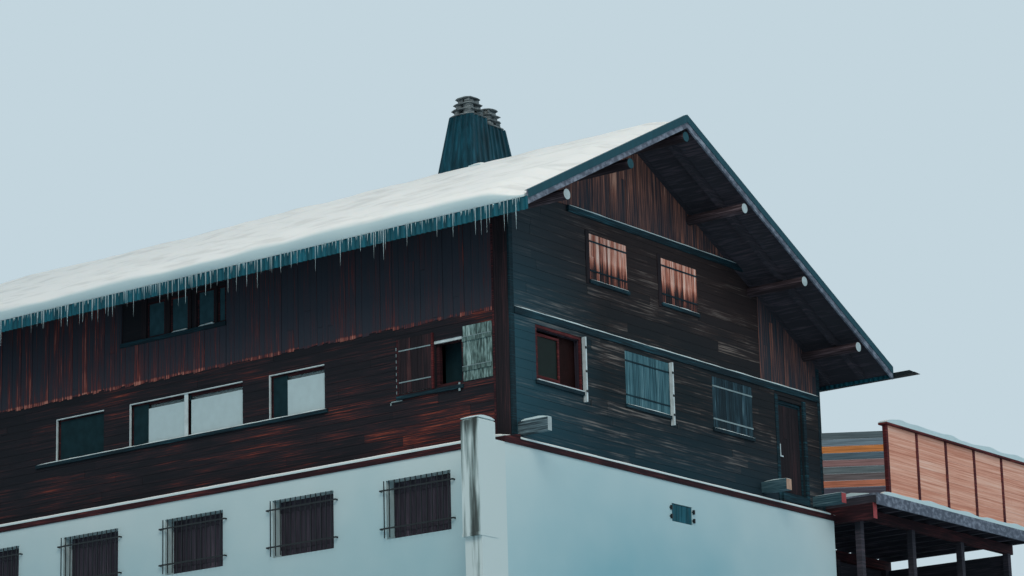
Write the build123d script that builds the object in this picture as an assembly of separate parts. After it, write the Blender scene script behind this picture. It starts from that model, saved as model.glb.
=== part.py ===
from build123d import *
import os
from math import atan, cos

# An alpine chalet: a rendered masonry base, a timber house of squared logs and
# boards on it, a low-pitched roof on round purlins, and a terrace beside it.
# X runs along the gable front, Y back along the eaves, Z up, in millimetres.
# The origin is on the ground, plumb under the front left corner of the timber house.

# House
HOUSE_WIDTH = 11165
HOUSE_LENGTH = 17600
SILL_LEVEL = 2950
STOREY_HEIGHT = 2600
LOG_WALL = 160
BOARD_WALL = 100

# Masonry base: how far it stands out past the timber, its wall, and its boarded ledge
BASE_PROUD_SIDE = 461
BASE_PROUD = 150
BASE_WALL = 650
FOOT_DROP = 100
LEDGE_FACE = 90
LEDGE_THICK = 25
LEDGE_FALL = 35
LEDGE_FALL_SIDE = 100

# Floors
GROUND_FLOOR = 150
FIRST_FLOOR = 200
ATTIC_FLOOR = 150

# Roof form: the reference line is the top of the barge boards
RIDGE_X = 4188
RIDGE_RISE = 4478
RIGHT_EAVE_RISE = 934
OVERHANG_GABLE = 1470
OVERHANG_LEFT = 1295
OVERHANG_RIGHT = 780

# Roof layers, purlins and edges
SHEET_DROP = 100
SHEET_THICK = 15
DECK_THICK = 35
RAFTER_DEPTH = 180
RAFTER_WIDTH = 100
RAFTER_BAYS = 20
RAFTER_SHORT = 260
PURLIN_RADIUS = 105
PURLIN_NOTCH = 63
PURLIN_SHORT = 10
PLATE_INSET = 10
PURLINS_FROM_RIDGE = (-2008, 0, 2092, 4322)
LAST_PURLIN_INSET = 565
RIDGE_GAP = 1
BARGE_DEPTH = 268
BARGE_THICK = 40
FLASHING = 12
FLASHING_FACE = 150
FASCIA_DEPTH_LEFT = 250
FASCIA_DEPTH_RIGHT = 110
FASCIA_THICK = 25
GUTTER_RADIUS = 110
GUTTER_WALL = 5
GUTTER_DROP = 0
GUTTER_PAST_BARGE = 600
GUTTER_MITRE = 200

# Snow on the two slopes: its height over the reference line at the ridge and the eaves
SNOW_RIDGE = 30
SNOW_EAVE_LEFT = 220
SNOW_EAVE_RIGHT = 60
SNOW_NOSE = 90

# Chimney stack: two flues in one tapered casing, measured from the ridge
STACK_FROM_RIDGE = 797
STACK_Y = 4510
STACK_FOOT = (1700, 920)
STACK_HEAD = (1240, 580)
STACK_RISE = 1322
STACK_STEP = 120
STACK_PART = 595
COLLAR_THICK = 30
COLLAR_PROUD = 45
COLLAR_GAP = 50
CAP_INSET = 5
CAP_SPREAD = 8
CAP_RISE = 110
CAP_TIERS = 3
CAP_POST = 50
CAP_PLATE = 22

# Windows of the masonry base: starts along the side, and heights below the sill of the house
BASE_WINDOW_Y = 1170
BASE_WINDOW_PITCH = 2920
BASE_WINDOW_WIDTH = 1590
BASE_WINDOWS = 5
BASE_WINDOW_FOOT = 1685
BASE_WINDOW_HEAD = 540
BASE_SHUTTER_DEPTH = 270
GRILLE_BAR = 16
GRILLE_FLAT = 30
GRILLE_PITCH = 132
GRILLE_PROUD = 70
GRILLE_RUN_OUT = 110
GRILLE_FLAT_IN = 200
VENT_X = 5040
VENT_SIZE = (730, 370)
VENT_DROP = 620
VENT_DEPTH = 40
VENT_PLATE = 20

# Windows of the timber storey: spans along the side, sill height, and head below the belt
SIDE_WINDOWS = ((4660, 6130), (6860, 10040), (10800, 12210))
RIGHT_WINDOWS = ((4660, 6130), (7700, 9170), (10800, 12210))
SIDE_SILL = 1230
SIDE_HEAD_DROP = 440
OPEN_HALF = (1170, 1860)
SHUTTER_END = 2750
SHUTTER_HEAD_DROP = 265
SHUTTER_THICK = 35
OPEN_LEAF = (430, 1130)
GABLE_SILL = 1225
GABLE_HEAD_DROP = 265
FIRST_GABLE_WINDOW = 760
GABLE_WINDOW_WIDTH = 1520
MIDDLE_GABLE_WINDOW = (-438, 1122)
LAST_GABLE_WINDOW = 4265
FOLDED_LEAF = (10, 50)
FOLDED_REACH = 110
FOLDED_FOOT = 1030
FOLDED_HEAD_DROP = 260
FRAME_WIDTH = 70
FRAME_DEPTH = 90
FRAME_SETBACK = 60
GLASS_THICK = 16
GLASS_DEPTH = 100
SILL_PROUD = 70
SILL_THICK = 70
SILL_OVER = 40
SILL_CLEAR = 5
SIDE_SILL_RUN = (90, 590)
SHUTTER_SILL_DROP = 35
SHUTTER_PROUD = 15
SHUTTER_LIFT = 10
SHUTTER_LAP = 40
PAIR_GAP = 6

# Attic windows: heights over the storey, and the loft lights hung from the wall plate
UPPER_WINDOWS_FROM_RIDGE = ((-1548, -258), (977, 2282))
UPPER_SILL = 980
UPPER_HEAD = 1945
UPPER_FRAME = 60
LOFT_LIGHTS = ((7330, 7560), (7640, 8140), (8380, 8900), (9050, 9570))
LOFT_HEAD_DROP = 118
LOFT_HEIGHT = 785
LOFT_FRAME = 45
LOFT_SETBACK = 10
LOFT_GLASS_DEPTH = 50
LOFT_SILL_RUN = (30, 730)
LOFT_SILL_THICK = 90

# Doors
DOOR_FROM_RIGHT = 1735
DOOR_WIDTH = 1020
DOOR_HEAD_DROP = 340
DOOR_LAP = 30
DOOR_FRAME = 60
LEAF_THICK = 40
JAMB_WIDTH = 110
JAMB_THICK = 40
JAMB_FOOT = -40
JAMB_OVER = 90
STEP_PROUD = 80
STEP_FOOT = 30
TERRACE_DOOR_Y = 900

# Belts, corner boards and beam ends
BELT_DEPTH = 130
BELT_PROUD = 55
BELT_OVER = -40
BELT_UPPER = 2380
BELT_UPPER_LEFT = 2238
CORNER_SIDE = 400
CORNER_GABLE = 90
CORNER_THICK = 30
CORNER_CLEAR = 20
FIRST_BEAM = 180
BEAMS_FROM_RIGHT = (2422, 397)
BEAM_WIDTHS = (120, 195, 185)
BEAM_OUT = (730, 645, 755)
BEAM_FEET = (40, 90, 60)
BEAM_END_DEPTH = (260, 230, 220)

# Wing pier at the front left corner of the base
PIER_X = (-1300, -760)
PIER_DEPTH = 400
PIER_TOP = 190
PIER_CHAMFER = 60
PIER_SHELF = 2060
SHELF_THICK = 60
SHELF_PROUD = 10
PIER_INSET = 70

# Terrace on the right
TERRACE_FRONT = -1250
TERRACE_BACK = 2950
TERRACE_BAYS = 5
BAY = 1300
TERRACE_END = 110
DECK_TOP = 300
DECK_BOARD = 40
JOISTS = 12
JOIST_DEPTH = 160
JOIST_WIDTH = 90
JOIST_INSET = 60
BEAM_DEPTH = 220
BEAM_WIDTH = 140
BEAM_INSET = 200
FRONT_ROW_INSET = 700
SIDE_BEAM_WIDTH = 160
SIDE_BEAM_DEPTH = 340
SIDE_BEAM_INSET = 120
BOARDING_THICK = 40
TERRACE_POSTS = 4
TERRACE_POST = 140
TERRACE_FASCIA = 30
TERRACE_FASCIA_DEPTH = 210
SCREEN_SETBACK = 10
SCREEN_FROM_HOUSE = 725
SCREEN_HEIGHT = 1590
SCREEN_POST = 90
SCREEN_PANEL = 30
SCREEN_LIFT = 10
COPING_WIDTH = 220
COPING_THICK = 40
COPING_OVER = 60
FENCE_PLANKS = 9
FENCE_HEIGHT = 1380
FENCE_THICK = 30
FENCE_GAP = 8
FENCE_LIFT = 80

# How far a cutting shape reaches past what it cuts
PAST = 3000

# Worked out from the sizes above
RIDGE_HEIGHT = STOREY_HEIGHT + RIDGE_RISE
ROOF_FALL = (RIDGE_RISE - RIGHT_EAVE_RISE) / (HOUSE_WIDTH - RIDGE_X)
ROOF_COS = cos(atan(ROOF_FALL))
EAVE_LEFT = -OVERHANG_LEFT
EAVE_RIGHT = HOUSE_WIDTH + OVERHANG_RIGHT
ROOF_FRONT = -OVERHANG_GABLE
ROOF_BACK = HOUSE_LENGTH + OVERHANG_GABLE
DECK_DROP = SHEET_DROP + SHEET_THICK
RAFTER_DROP = DECK_DROP + DECK_THICK
PURLIN_DROP = RAFTER_DROP + RAFTER_DEPTH
PURLIN_X = (
    PLATE_INSET,
    *[RIDGE_X + offset for offset in PURLINS_FROM_RIDGE],
    HOUSE_WIDTH - LAST_PURLIN_INSET,
)
BASE_LEFT = -BASE_PROUD_SIDE
BASE_RIGHT = HOUSE_WIDTH + BASE_PROUD
BASE_FRONT = -BASE_PROUD
BASE_BACK = HOUSE_LENGTH + BASE_PROUD
SHUTTER_BACK = SHUTTER_THICK - SHUTTER_PROUD
SIDE_HEAD = STOREY_HEIGHT - SIDE_HEAD_DROP
GABLE_HEAD = STOREY_HEIGHT - GABLE_HEAD_DROP
DOOR_HEAD = STOREY_HEIGHT - DOOR_HEAD_DROP
DOOR = (HOUSE_WIDTH - DOOR_FROM_RIGHT, HOUSE_WIDTH - DOOR_FROM_RIGHT + DOOR_WIDTH)
GABLE_WINDOWS = (
    (FIRST_GABLE_WINDOW, FIRST_GABLE_WINDOW + GABLE_WINDOW_WIDTH),
    (RIDGE_X + MIDDLE_GABLE_WINDOW[0], RIDGE_X + MIDDLE_GABLE_WINDOW[1]),
    (HOUSE_WIDTH - LAST_GABLE_WINDOW, HOUSE_WIDTH - LAST_GABLE_WINDOW + GABLE_WINDOW_WIDTH),
)
UPPER_WINDOWS = [(RIDGE_X + start, RIDGE_X + end) for start, end in UPPER_WINDOWS_FROM_RIDGE]
STACK_X = RIDGE_X + STACK_FROM_RIDGE
STACK_TOP = RIDGE_HEIGHT + STACK_RISE
STACK_STEP_X = STACK_X - STACK_HEAD[0] / 2 + STACK_PART
TERRACE_LEFT = BASE_RIGHT + LEDGE_THICK
FOOT = SILL_LEVEL - FOOT_DROP
SCREEN_LEFT = HOUSE_WIDTH + SCREEN_FROM_HOUSE
TERRACE_RIGHT = SCREEN_LEFT + TERRACE_BAYS * BAY + SCREEN_POST + TERRACE_END


def level(height):
    """Height above the ground of a height given from the sill of the timber house."""
    return SILL_LEVEL + height


def attic(height):
    """Height above the ground of a height given from the top of the timber storey."""
    return SILL_LEVEL + STOREY_HEIGHT + height


def roof_line(x, drop=0):
    """Height of the roof's reference line at x, less a drop measured plumb."""
    return level(RIDGE_HEIGHT) - ROOF_FALL * abs(x - RIDGE_X) - drop


def block(x, y, z):
    """A box between pairs of limits."""
    size = [high - low for low, high in (x, y, z)]
    centre = [(low + high) / 2 for low, high in (x, y, z)]
    return Pos(*centre) * Box(*size)


def around(middle, size):
    """Limits of a given size about a middle."""
    return (middle - size / 2, middle + size / 2)


def prism_y(points, y):
    """A polygon of x, z points, extruded from one y to another."""
    outline = Plane.XZ * make_face(Polyline(*points, close=True))
    return Pos(0, y[0], 0) * extrude(outline, -(y[1] - y[0]))


def prism_x(points, x):
    """A polygon of y, z points, extruded from one x to another."""
    outline = Plane.YZ * make_face(Polyline(*points, close=True))
    return Pos(x[0], 0, 0) * extrude(outline, x[1] - x[0])


def slope(x_from, x_to, drops, y):
    """A layer of one roof slope between two plumb cuts."""
    top, bottom = drops
    points = [
        (x_from, roof_line(x_from, top)),
        (x_to, roof_line(x_to, top)),
        (x_to, roof_line(x_to, bottom)),
        (x_from, roof_line(x_from, bottom)),
    ]
    return prism_y(points, y)


def both_slopes(drops, y, short=0):
    """A roof layer on both slopes, parted at the ridge and ending short of the eaves."""
    return [
        slope(RIDGE_X - RIDGE_GAP, EAVE_LEFT + short, drops, y),
        slope(RIDGE_X + RIDGE_GAP, EAVE_RIGHT - short, drops, y),
    ]


def under_roof(drop, y):
    """All the space under a layer of the roof, down to the ground."""
    left, right = EAVE_LEFT - PAST, EAVE_RIGHT + PAST
    points = [
        (left, roof_line(left, drop)),
        (RIDGE_X, roof_line(RIDGE_X, drop)),
        (right, roof_line(right, drop)),
        (right, -PAST),
        (left, -PAST),
    ]
    return prism_y(points, y)


def solids_of(*shapes):
    """All the solids of some shapes, kept apart."""
    return Compound(children=[solid for shape in shapes for solid in shape.solids()])


def purlin_height(x):
    """Axis height of a round purlin whose top touches the rafters."""
    return roof_line(x, PURLIN_DROP) - PURLIN_RADIUS / ROOF_COS


nodes = {}


# Masonry base, one wall to a side, butted at the corners
base_window_starts = [BASE_WINDOW_Y + number * BASE_WINDOW_PITCH for number in range(BASE_WINDOWS)]
LEFT_BASE_WINDOWS = [(start, start + BASE_WINDOW_WIDTH) for start in base_window_starts]
RIGHT_BASE_WINDOWS = [span for span in LEFT_BASE_WINDOWS if span[0] > TERRACE_BACK]
BASE_WINDOW_Z = (level(-BASE_WINDOW_FOOT), level(-BASE_WINDOW_HEAD))


def base_wall_side(outer, inner, spans):
    x = sorted((outer, inner))
    wall = block(x, (BASE_FRONT + BASE_WALL, BASE_BACK - BASE_WALL), (0, FOOT))
    for span in spans:
        wall -= block(x, span, BASE_WINDOW_Z)
    return wall


VENT_SPAN = (VENT_X, VENT_X + VENT_SIZE[0])
VENT_Z = (level(-VENT_DROP - VENT_SIZE[1]), level(-VENT_DROP))
FRONT_WALL_Y = (BASE_FRONT, BASE_FRONT + BASE_WALL)
base_front = block((BASE_LEFT, BASE_RIGHT), FRONT_WALL_Y, (0, FOOT))
nodes["base_wall_front"] = base_front - block(VENT_SPAN, FRONT_WALL_Y, VENT_Z)
nodes["base_wall_left"] = base_wall_side(BASE_LEFT, BASE_LEFT + BASE_WALL, LEFT_BASE_WINDOWS)
nodes["base_wall_right"] = base_wall_side(BASE_RIGHT, BASE_RIGHT - BASE_WALL, RIGHT_BASE_WINDOWS)
nodes["base_wall_back"] = block(
    (BASE_LEFT, BASE_RIGHT), (BASE_BACK - BASE_WALL, BASE_BACK), (0, FOOT)
)
nodes["ground_floor"] = block(
    (BASE_LEFT + BASE_WALL, BASE_RIGHT - BASE_WALL),
    (BASE_FRONT + BASE_WALL, BASE_BACK - BASE_WALL),
    (0, GROUND_FLOOR),
)


# Wing pier: a low wing in line with the front wall, and a taller pier at its end
def wing_pier():
    y = (BASE_FRONT, BASE_FRONT + PIER_DEPTH)
    shelf = level(-PIER_SHELF)
    wing = block((PIER_X[1], BASE_LEFT), y, (0, FOOT - LEDGE_FACE))
    upper = block(PIER_X, y, (shelf + SHELF_THICK, level(PIER_TOP)))
    upper = chamfer(upper.faces().sort_by(Axis.Z)[-1].edges(), PIER_CHAMFER)
    slab = block(
        (PIER_X[0] - SHELF_PROUD, PIER_X[1]),
        (y[0] - SHELF_PROUD, y[1] + SHELF_PROUD),
        (shelf, shelf + SHELF_THICK),
    )
    lower = block((PIER_X[0] + PIER_INSET, PIER_X[1]), y, (0, shelf))
    return wing + upper + slab + lower


nodes["wing_pier"] = wing_pier()


# Ledge boards: a weathered capping that falls outwards, and a face board under its edge
def capping_section(depth, sign, edge, fall):
    """Points of the capping on a wall whose timber stands at edge."""
    face = edge + sign * (depth + LEDGE_THICK)
    return [
        (face, FOOT),
        (edge, FOOT),
        (edge, FOOT + fall + LEDGE_THICK),
        (face, FOOT + LEDGE_THICK),
    ]


def face_board_section(depth, sign, edge):
    outer = edge + sign * depth
    face = outer + sign * LEDGE_THICK
    return [
        (outer, FOOT - LEDGE_FACE),
        (face, FOOT - LEDGE_FACE),
        (face, FOOT),
        (outer, FOOT),
    ]


capping_run = (BASE_FRONT - LEDGE_THICK, BASE_BACK + LEDGE_THICK)
face_run_side = (BASE_FRONT, BASE_BACK)
face_run_gable = (BASE_LEFT - LEDGE_THICK, BASE_RIGHT + LEDGE_THICK)
nodes["ledge_boards"] = solids_of(
    prism_y(capping_section(BASE_PROUD_SIDE, -1, 0, LEDGE_FALL_SIDE), capping_run),
    prism_y(capping_section(BASE_PROUD, 1, HOUSE_WIDTH, LEDGE_FALL), capping_run),
    prism_x(capping_section(BASE_PROUD, -1, 0, LEDGE_FALL), (0, HOUSE_WIDTH)),
    prism_x(capping_section(BASE_PROUD, 1, HOUSE_LENGTH, LEDGE_FALL), (0, HOUSE_WIDTH)),
    prism_y(face_board_section(BASE_PROUD_SIDE, -1, 0), face_run_side),
    prism_y(face_board_section(BASE_PROUD, 1, HOUSE_WIDTH), face_run_side),
    prism_x(face_board_section(BASE_PROUD, -1, 0), face_run_gable),
    prism_x(face_board_section(BASE_PROUD, 1, HOUSE_LENGTH), face_run_gable),
)


# Timber walls
def cut_x(wall, y, spans, z):
    """Cuts openings through a wall that runs along X."""
    for span in spans:
        wall -= block(span, y, z)
    return wall


def cut_y(wall, x, spans, z):
    """Cuts openings through a wall that runs along Y."""
    for span in spans:
        wall -= block(x, span, z)
    return wall


STOREY_Z = (FOOT, attic(0))
SIDE_WINDOW_Z = (level(SIDE_SILL), level(SIDE_HEAD))
GABLE_WINDOW_Z = (level(GABLE_SILL), level(GABLE_HEAD))
UPPER_WINDOW_Z = (attic(UPPER_SILL), attic(UPPER_HEAD))
DOOR_Z = (level(FIRST_FLOOR), level(DOOR_HEAD))
TERRACE_DOOR = (TERRACE_DOOR_Y, TERRACE_DOOR_Y + DOOR_WIDTH)
TERRACE_DOOR_Z = (level(DECK_TOP), level(DOOR_HEAD))

side_y = (LOG_WALL, HOUSE_LENGTH - LOG_WALL)
left_log_x = (0, LOG_WALL)
left_lower = block(left_log_x, side_y, STOREY_Z)
nodes["side_wall_left_lower"] = cut_y(
    left_lower, left_log_x, [*SIDE_WINDOWS, OPEN_HALF], SIDE_WINDOW_Z
)

PLATE_SEAT = purlin_height(PLATE_INSET) - PURLIN_RADIUS
LOFT_HEAD = PLATE_SEAT - LOFT_HEAD_DROP
LOFT_Z = (LOFT_HEAD - LOFT_HEIGHT, LOFT_HEAD)
attic_side_y = (BOARD_WALL, HOUSE_LENGTH - BOARD_WALL)
left_board_x = (0, BOARD_WALL)
left_upper = block(left_board_x, attic_side_y, (attic(0), PLATE_SEAT))
nodes["side_wall_left_upper"] = cut_y(left_upper, left_board_x, LOFT_LIGHTS, LOFT_Z)

right_log_x = (HOUSE_WIDTH - LOG_WALL, HOUSE_WIDTH)
right_board_x = (HOUSE_WIDTH - BOARD_WALL, HOUSE_WIDTH)
right_lower = cut_y(block(right_log_x, side_y, STOREY_Z), right_log_x, RIGHT_WINDOWS, SIDE_WINDOW_Z)
nodes["side_wall_right"] = cut_y(right_lower, right_log_x, [TERRACE_DOOR], TERRACE_DOOR_Z)
nodes["side_wall_right_upper"] = prism_y(
    [
        (right_board_x[0], attic(0)),
        (right_board_x[1], attic(0)),
        (right_board_x[1], roof_line(right_board_x[1], PURLIN_DROP)),
        (right_board_x[0], roof_line(right_board_x[0], PURLIN_DROP)),
    ],
    attic_side_y,
)


def purlins(y):
    return [
        Pos(x, sum(y) / 2, purlin_height(x)) * Rot(90, 0, 0) * Cylinder(PURLIN_RADIUS, y[1] - y[0])
        for x in PURLIN_X
    ]


def gable_upper(y):
    """The gable over the storey, notched from above for each purlin."""
    wall = prism_y(
        [
            (0, attic(0)),
            (HOUSE_WIDTH, attic(0)),
            (HOUSE_WIDTH, roof_line(HOUSE_WIDTH, PURLIN_DROP)),
            (RIDGE_X, roof_line(RIDGE_X, PURLIN_DROP)),
            (0, roof_line(0, PURLIN_DROP)),
        ],
        y,
    )
    for x, log in zip(PURLIN_X, purlins(y)):
        seat = purlin_height(x)
        wall -= log + block(around(x, 2 * PURLIN_NOTCH), y, (seat, seat + PAST))
    return wall


front_log_y = (0, LOG_WALL)
front_board_y = (0, BOARD_WALL)
back_log_y = (HOUSE_LENGTH - LOG_WALL, HOUSE_LENGTH)
back_board_y = (HOUSE_LENGTH - BOARD_WALL, HOUSE_LENGTH)
full_width = (0, HOUSE_WIDTH)
front_lower = cut_x(block(full_width, front_log_y, STOREY_Z), front_log_y, GABLE_WINDOWS, GABLE_WINDOW_Z)
nodes["gable_front_lower"] = cut_x(front_lower, front_log_y, [DOOR], DOOR_Z)
nodes["gable_front_upper"] = cut_x(
    gable_upper(front_board_y), front_board_y, UPPER_WINDOWS, UPPER_WINDOW_Z
)
nodes["gable_back"] = cut_x(
    block(full_width, back_log_y, STOREY_Z), back_log_y, GABLE_WINDOWS, GABLE_WINDOW_Z
)
nodes["gable_back_upper"] = cut_x(
    gable_upper(back_board_y), back_board_y, UPPER_WINDOWS, UPPER_WINDOW_Z
)

# Floors
nodes["first_floor"] = block(
    (LOG_WALL, HOUSE_WIDTH - LOG_WALL),
    (LOG_WALL, HOUSE_LENGTH - LOG_WALL),
    (FOOT, level(FIRST_FLOOR)),
)
nodes["attic_floor"] = block(
    (BOARD_WALL, HOUSE_WIDTH - BOARD_WALL),
    (BOARD_WALL, HOUSE_LENGTH - BOARD_WALL),
    (attic(0), attic(ATTIC_FLOOR)),
)

# Roof structure
purlin_end = BARGE_THICK + PURLIN_SHORT
nodes["purlins"] = solids_of(*purlins((ROOF_FRONT + purlin_end, ROOF_BACK - purlin_end)))


def rafters():
    """Pairs of rafters, one bay past each gable wall."""
    first = BOARD_WALL / 2
    pitch = (HOUSE_LENGTH - 2 * first) / RAFTER_BAYS
    rows = [first + row * pitch for row in range(-1, RAFTER_BAYS + 2)]
    drops = (RAFTER_DROP, PURLIN_DROP)
    pairs = [both_slopes(drops, around(y, RAFTER_WIDTH), RAFTER_SHORT) for y in rows]
    return [rafter for pair in pairs for rafter in pair]


nodes["rafters"] = solids_of(*rafters())
deck_run = (ROOF_FRONT + BARGE_THICK, ROOF_BACK - BARGE_THICK)
nodes["roof_deck"] = solids_of(*both_slopes((DECK_DROP, RAFTER_DROP), deck_run))
nodes["roof_sheets"] = solids_of(*both_slopes((SHEET_DROP, DECK_DROP), deck_run))


# Roof edges: barge boards with a metal angle, eave fascias and a gutter
def barge_flashing(outer, inner):
    """A metal angle over a barge board, down its face and over its top."""
    sign = 1 if inner > outer else -1
    face = sorted((outer - sign * FLASHING, outer))
    cap = sorted((outer - sign * FLASHING, inner + sign * BARGE_THICK))
    faces = both_slopes((0, FLASHING_FACE), face)
    caps = both_slopes((-FLASHING, 0), cap)
    return [face_half + cap_half for face_half, cap_half in zip(faces, caps)]


front_barge = (ROOF_FRONT, ROOF_FRONT + BARGE_THICK)
back_barge = (ROOF_BACK - BARGE_THICK, ROOF_BACK)
nodes["barge_boards"] = solids_of(
    *both_slopes((0, BARGE_DEPTH), front_barge), *both_slopes((0, BARGE_DEPTH), back_barge)
)
nodes["barge_flashing"] = solids_of(
    *barge_flashing(front_barge[0], front_barge[1]), *barge_flashing(back_barge[1], back_barge[0])
)


def eave_fascia(eave, sign, depth):
    x = sorted((eave, eave + sign * FASCIA_THICK))
    top = roof_line(eave, DECK_DROP)
    return block(x, (ROOF_FRONT, ROOF_BACK), (top - depth, top))


nodes["eave_fascia"] = solids_of(
    eave_fascia(EAVE_LEFT, -1, FASCIA_DEPTH_LEFT),
    eave_fascia(EAVE_RIGHT, 1, FASCIA_DEPTH_RIGHT),
)


def gutter():
    """A half-round gutter on the right eave that runs on past the front barge, mitred from above."""
    x = EAVE_RIGHT + FASCIA_THICK + GUTTER_RADIUS
    z = roof_line(EAVE_RIGHT, DECK_DROP) - GUTTER_DROP
    front = ROOF_FRONT - GUTTER_PAST_BARGE
    half_ring = Circle(GUTTER_RADIUS) - Circle(GUTTER_RADIUS - GUTTER_WALL)
    half_ring -= Pos(0, GUTTER_RADIUS) * Rectangle(4 * GUTTER_RADIUS, 2 * GUTTER_RADIUS)
    trough = Pos(x, front, z) * extrude(Plane.XZ * half_ring, front - ROOF_BACK)
    mitre = [(front, z - GUTTER_RADIUS), (front, z), (front + GUTTER_MITRE, z)]
    return trough - prism_x(mitre, around(x, 4 * GUTTER_RADIUS))


nodes["gutter"] = gutter()


# Chimney: a tapered casing that stands on the roof sheets, stepped down over its second flue
def chimney_stack():
    ridge = level(RIDGE_HEIGHT)
    foot = ridge - PAST
    widen = [(low - high) * PAST / STACK_RISE for low, high in zip(STACK_FOOT, STACK_HEAD)]
    low_outline = Pos(STACK_X, STACK_Y, foot) * Rectangle(STACK_FOOT[0] + widen[0], STACK_FOOT[1] + widen[1])
    high_outline = Pos(STACK_X, STACK_Y, level(STACK_TOP)) * Rectangle(*STACK_HEAD)
    casing = loft([low_outline, high_outline])
    around_y = (STACK_Y - PAST, STACK_Y + PAST)
    step = block(
        (STACK_STEP_X, STACK_X + PAST), around_y, (level(STACK_TOP) - STACK_STEP, level(STACK_TOP) + PAST)
    )
    return casing - step - under_roof(SHEET_DROP, around_y)


stack = chimney_stack()
nodes["chimney_stack"] = stack


def flue_cap(x, y, top, collar_edge, stone_edge):
    """A collar, and stone plates on short posts, tier over tier."""
    collar_x = (x[0] + collar_edge, x[1] + COLLAR_PROUD)
    collar_y = (y[0] - COLLAR_PROUD, y[1] + COLLAR_PROUD)
    pieces = [block(collar_x, collar_y, (top, top + COLLAR_THICK))]
    z = top + COLLAR_THICK
    for tier in range(CAP_TIERS):
        reach = CAP_INSET + CAP_SPREAD * tier
        plate_x = (x[0] + stone_edge + reach, x[1] - reach)
        plate_y = (y[0] + reach, y[1] - reach)
        for post_x in (plate_x[0] + CAP_POST, plate_x[1] - CAP_POST):
            for post_y in (plate_y[0] + CAP_POST, plate_y[1] - CAP_POST):
                pieces.append(block(around(post_x, CAP_POST), around(post_y, CAP_POST), (z, z + CAP_RISE)))
        z += CAP_RISE
        pieces.append(block(plate_x, plate_y, (z, z + CAP_PLATE)))
        z += CAP_PLATE
    return pieces


flue_y = around(STACK_Y, STACK_HEAD[1])
first_flue = (STACK_X - STACK_HEAD[0] / 2, STACK_STEP_X)
second_flue = (STACK_STEP_X, STACK_X + STACK_HEAD[0] / 2)
nodes["chimney_caps"] = solids_of(
    *flue_cap(first_flue, flue_y, level(STACK_TOP), -COLLAR_PROUD, 0),
    *flue_cap(second_flue, flue_y, level(STACK_TOP) - STACK_STEP, COLLAR_GAP, COLLAR_PROUD + CAP_INSET),
)


# Snow: a blanket that thickens down the slope and rounds over the eave
def snow_blanket(eave, eave_rise):
    sign = 1 if eave > RIDGE_X else -1
    brow_x = eave - sign * SNOW_NOSE
    crest = Vector(RIDGE_X, roof_line(RIDGE_X) + SNOW_RIDGE)
    brow = Vector(brow_x, roof_line(brow_x) + eave_rise)
    lip = Vector(eave + sign * FASCIA_THICK, roof_line(eave + sign * FASCIA_THICK, SHEET_DROP))
    top = Line(crest, brow)
    nose = TangentArc(brow, lip, tangent=(brow - crest).normalized())
    base = Polyline(lip, (RIDGE_X, roof_line(RIDGE_X, SHEET_DROP)), crest)
    outline = Plane.XZ * make_face([top, nose, base])
    run = (ROOF_FRONT + 2 * BARGE_THICK, ROOF_BACK - 2 * BARGE_THICK)
    return Pos(0, run[0], 0) * extrude(outline, run[0] - run[1]) - stack


nodes["roof_snow_left"] = snow_blanket(EAVE_LEFT, SNOW_EAVE_LEFT)
nodes["roof_snow_right"] = snow_blanket(EAVE_RIGHT, SNOW_EAVE_RIGHT)


# Windows: a frame ring in each opening, and a pane in the ring
def inset(span, width):
    return (span[0] + width, span[1] - width)


def ring_x(span, y, z, width):
    """A frame in a wall that runs along X."""
    return block(span, y, z) - block(inset(span, width), y, inset(z, width))


def ring_y(span, x, z, width):
    """A frame in a wall that runs along Y."""
    return block(x, span, z) - block(x, inset(span, width), inset(z, width))


def pane_y(span, x, z, width):
    return block((x, x + GLASS_THICK), inset(span, width), inset(z, width))


wide_window = SIDE_WINDOWS[1]
wide_middle = sum(wide_window) / 2
halves = [(wide_window[0], wide_middle), (wide_middle, wide_window[1])]
left_lights = [SIDE_WINDOWS[0], *halves, SIDE_WINDOWS[2]]
frame_x = (FRAME_SETBACK, FRAME_SETBACK + FRAME_DEPTH)
right_frame_x = (HOUSE_WIDTH - frame_x[1], HOUSE_WIDTH - frame_x[0])
loft_frame_x = (LOFT_SETBACK, BOARD_WALL - 2 * LOFT_SETBACK)
left_frames = [ring_y(span, frame_x, SIDE_WINDOW_Z, FRAME_WIDTH) for span in left_lights]
nodes["side_window_frames"] = solids_of(
    left_frames[0],
    left_frames[1] + left_frames[2],
    left_frames[3],
    ring_y(OPEN_HALF, frame_x, SIDE_WINDOW_Z, FRAME_WIDTH),
    *[ring_y(span, loft_frame_x, LOFT_Z, LOFT_FRAME) for span in LOFT_LIGHTS],
    *[ring_y(span, right_frame_x, SIDE_WINDOW_Z, FRAME_WIDTH) for span in RIGHT_WINDOWS],
)
nodes["side_window_glass"] = solids_of(
    *[pane_y(span, GLASS_DEPTH, SIDE_WINDOW_Z, FRAME_WIDTH) for span in left_lights],
    *[pane_y(span, LOFT_GLASS_DEPTH, LOFT_Z, LOFT_FRAME) for span in LOFT_LIGHTS],
    *[pane_y(span, HOUSE_WIDTH - GLASS_DEPTH, SIDE_WINDOW_Z, FRAME_WIDTH) for span in RIGHT_WINDOWS],
)
gable_frame_y = (SHUTTER_BACK, SHUTTER_BACK + FRAME_DEPTH)
back_frame_y = (HOUSE_LENGTH - gable_frame_y[1], HOUSE_LENGTH - gable_frame_y[0])
upper_frame_y = (SHUTTER_BACK, BOARD_WALL)
back_upper_frame_y = (HOUSE_LENGTH - upper_frame_y[1], HOUSE_LENGTH - upper_frame_y[0])
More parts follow.
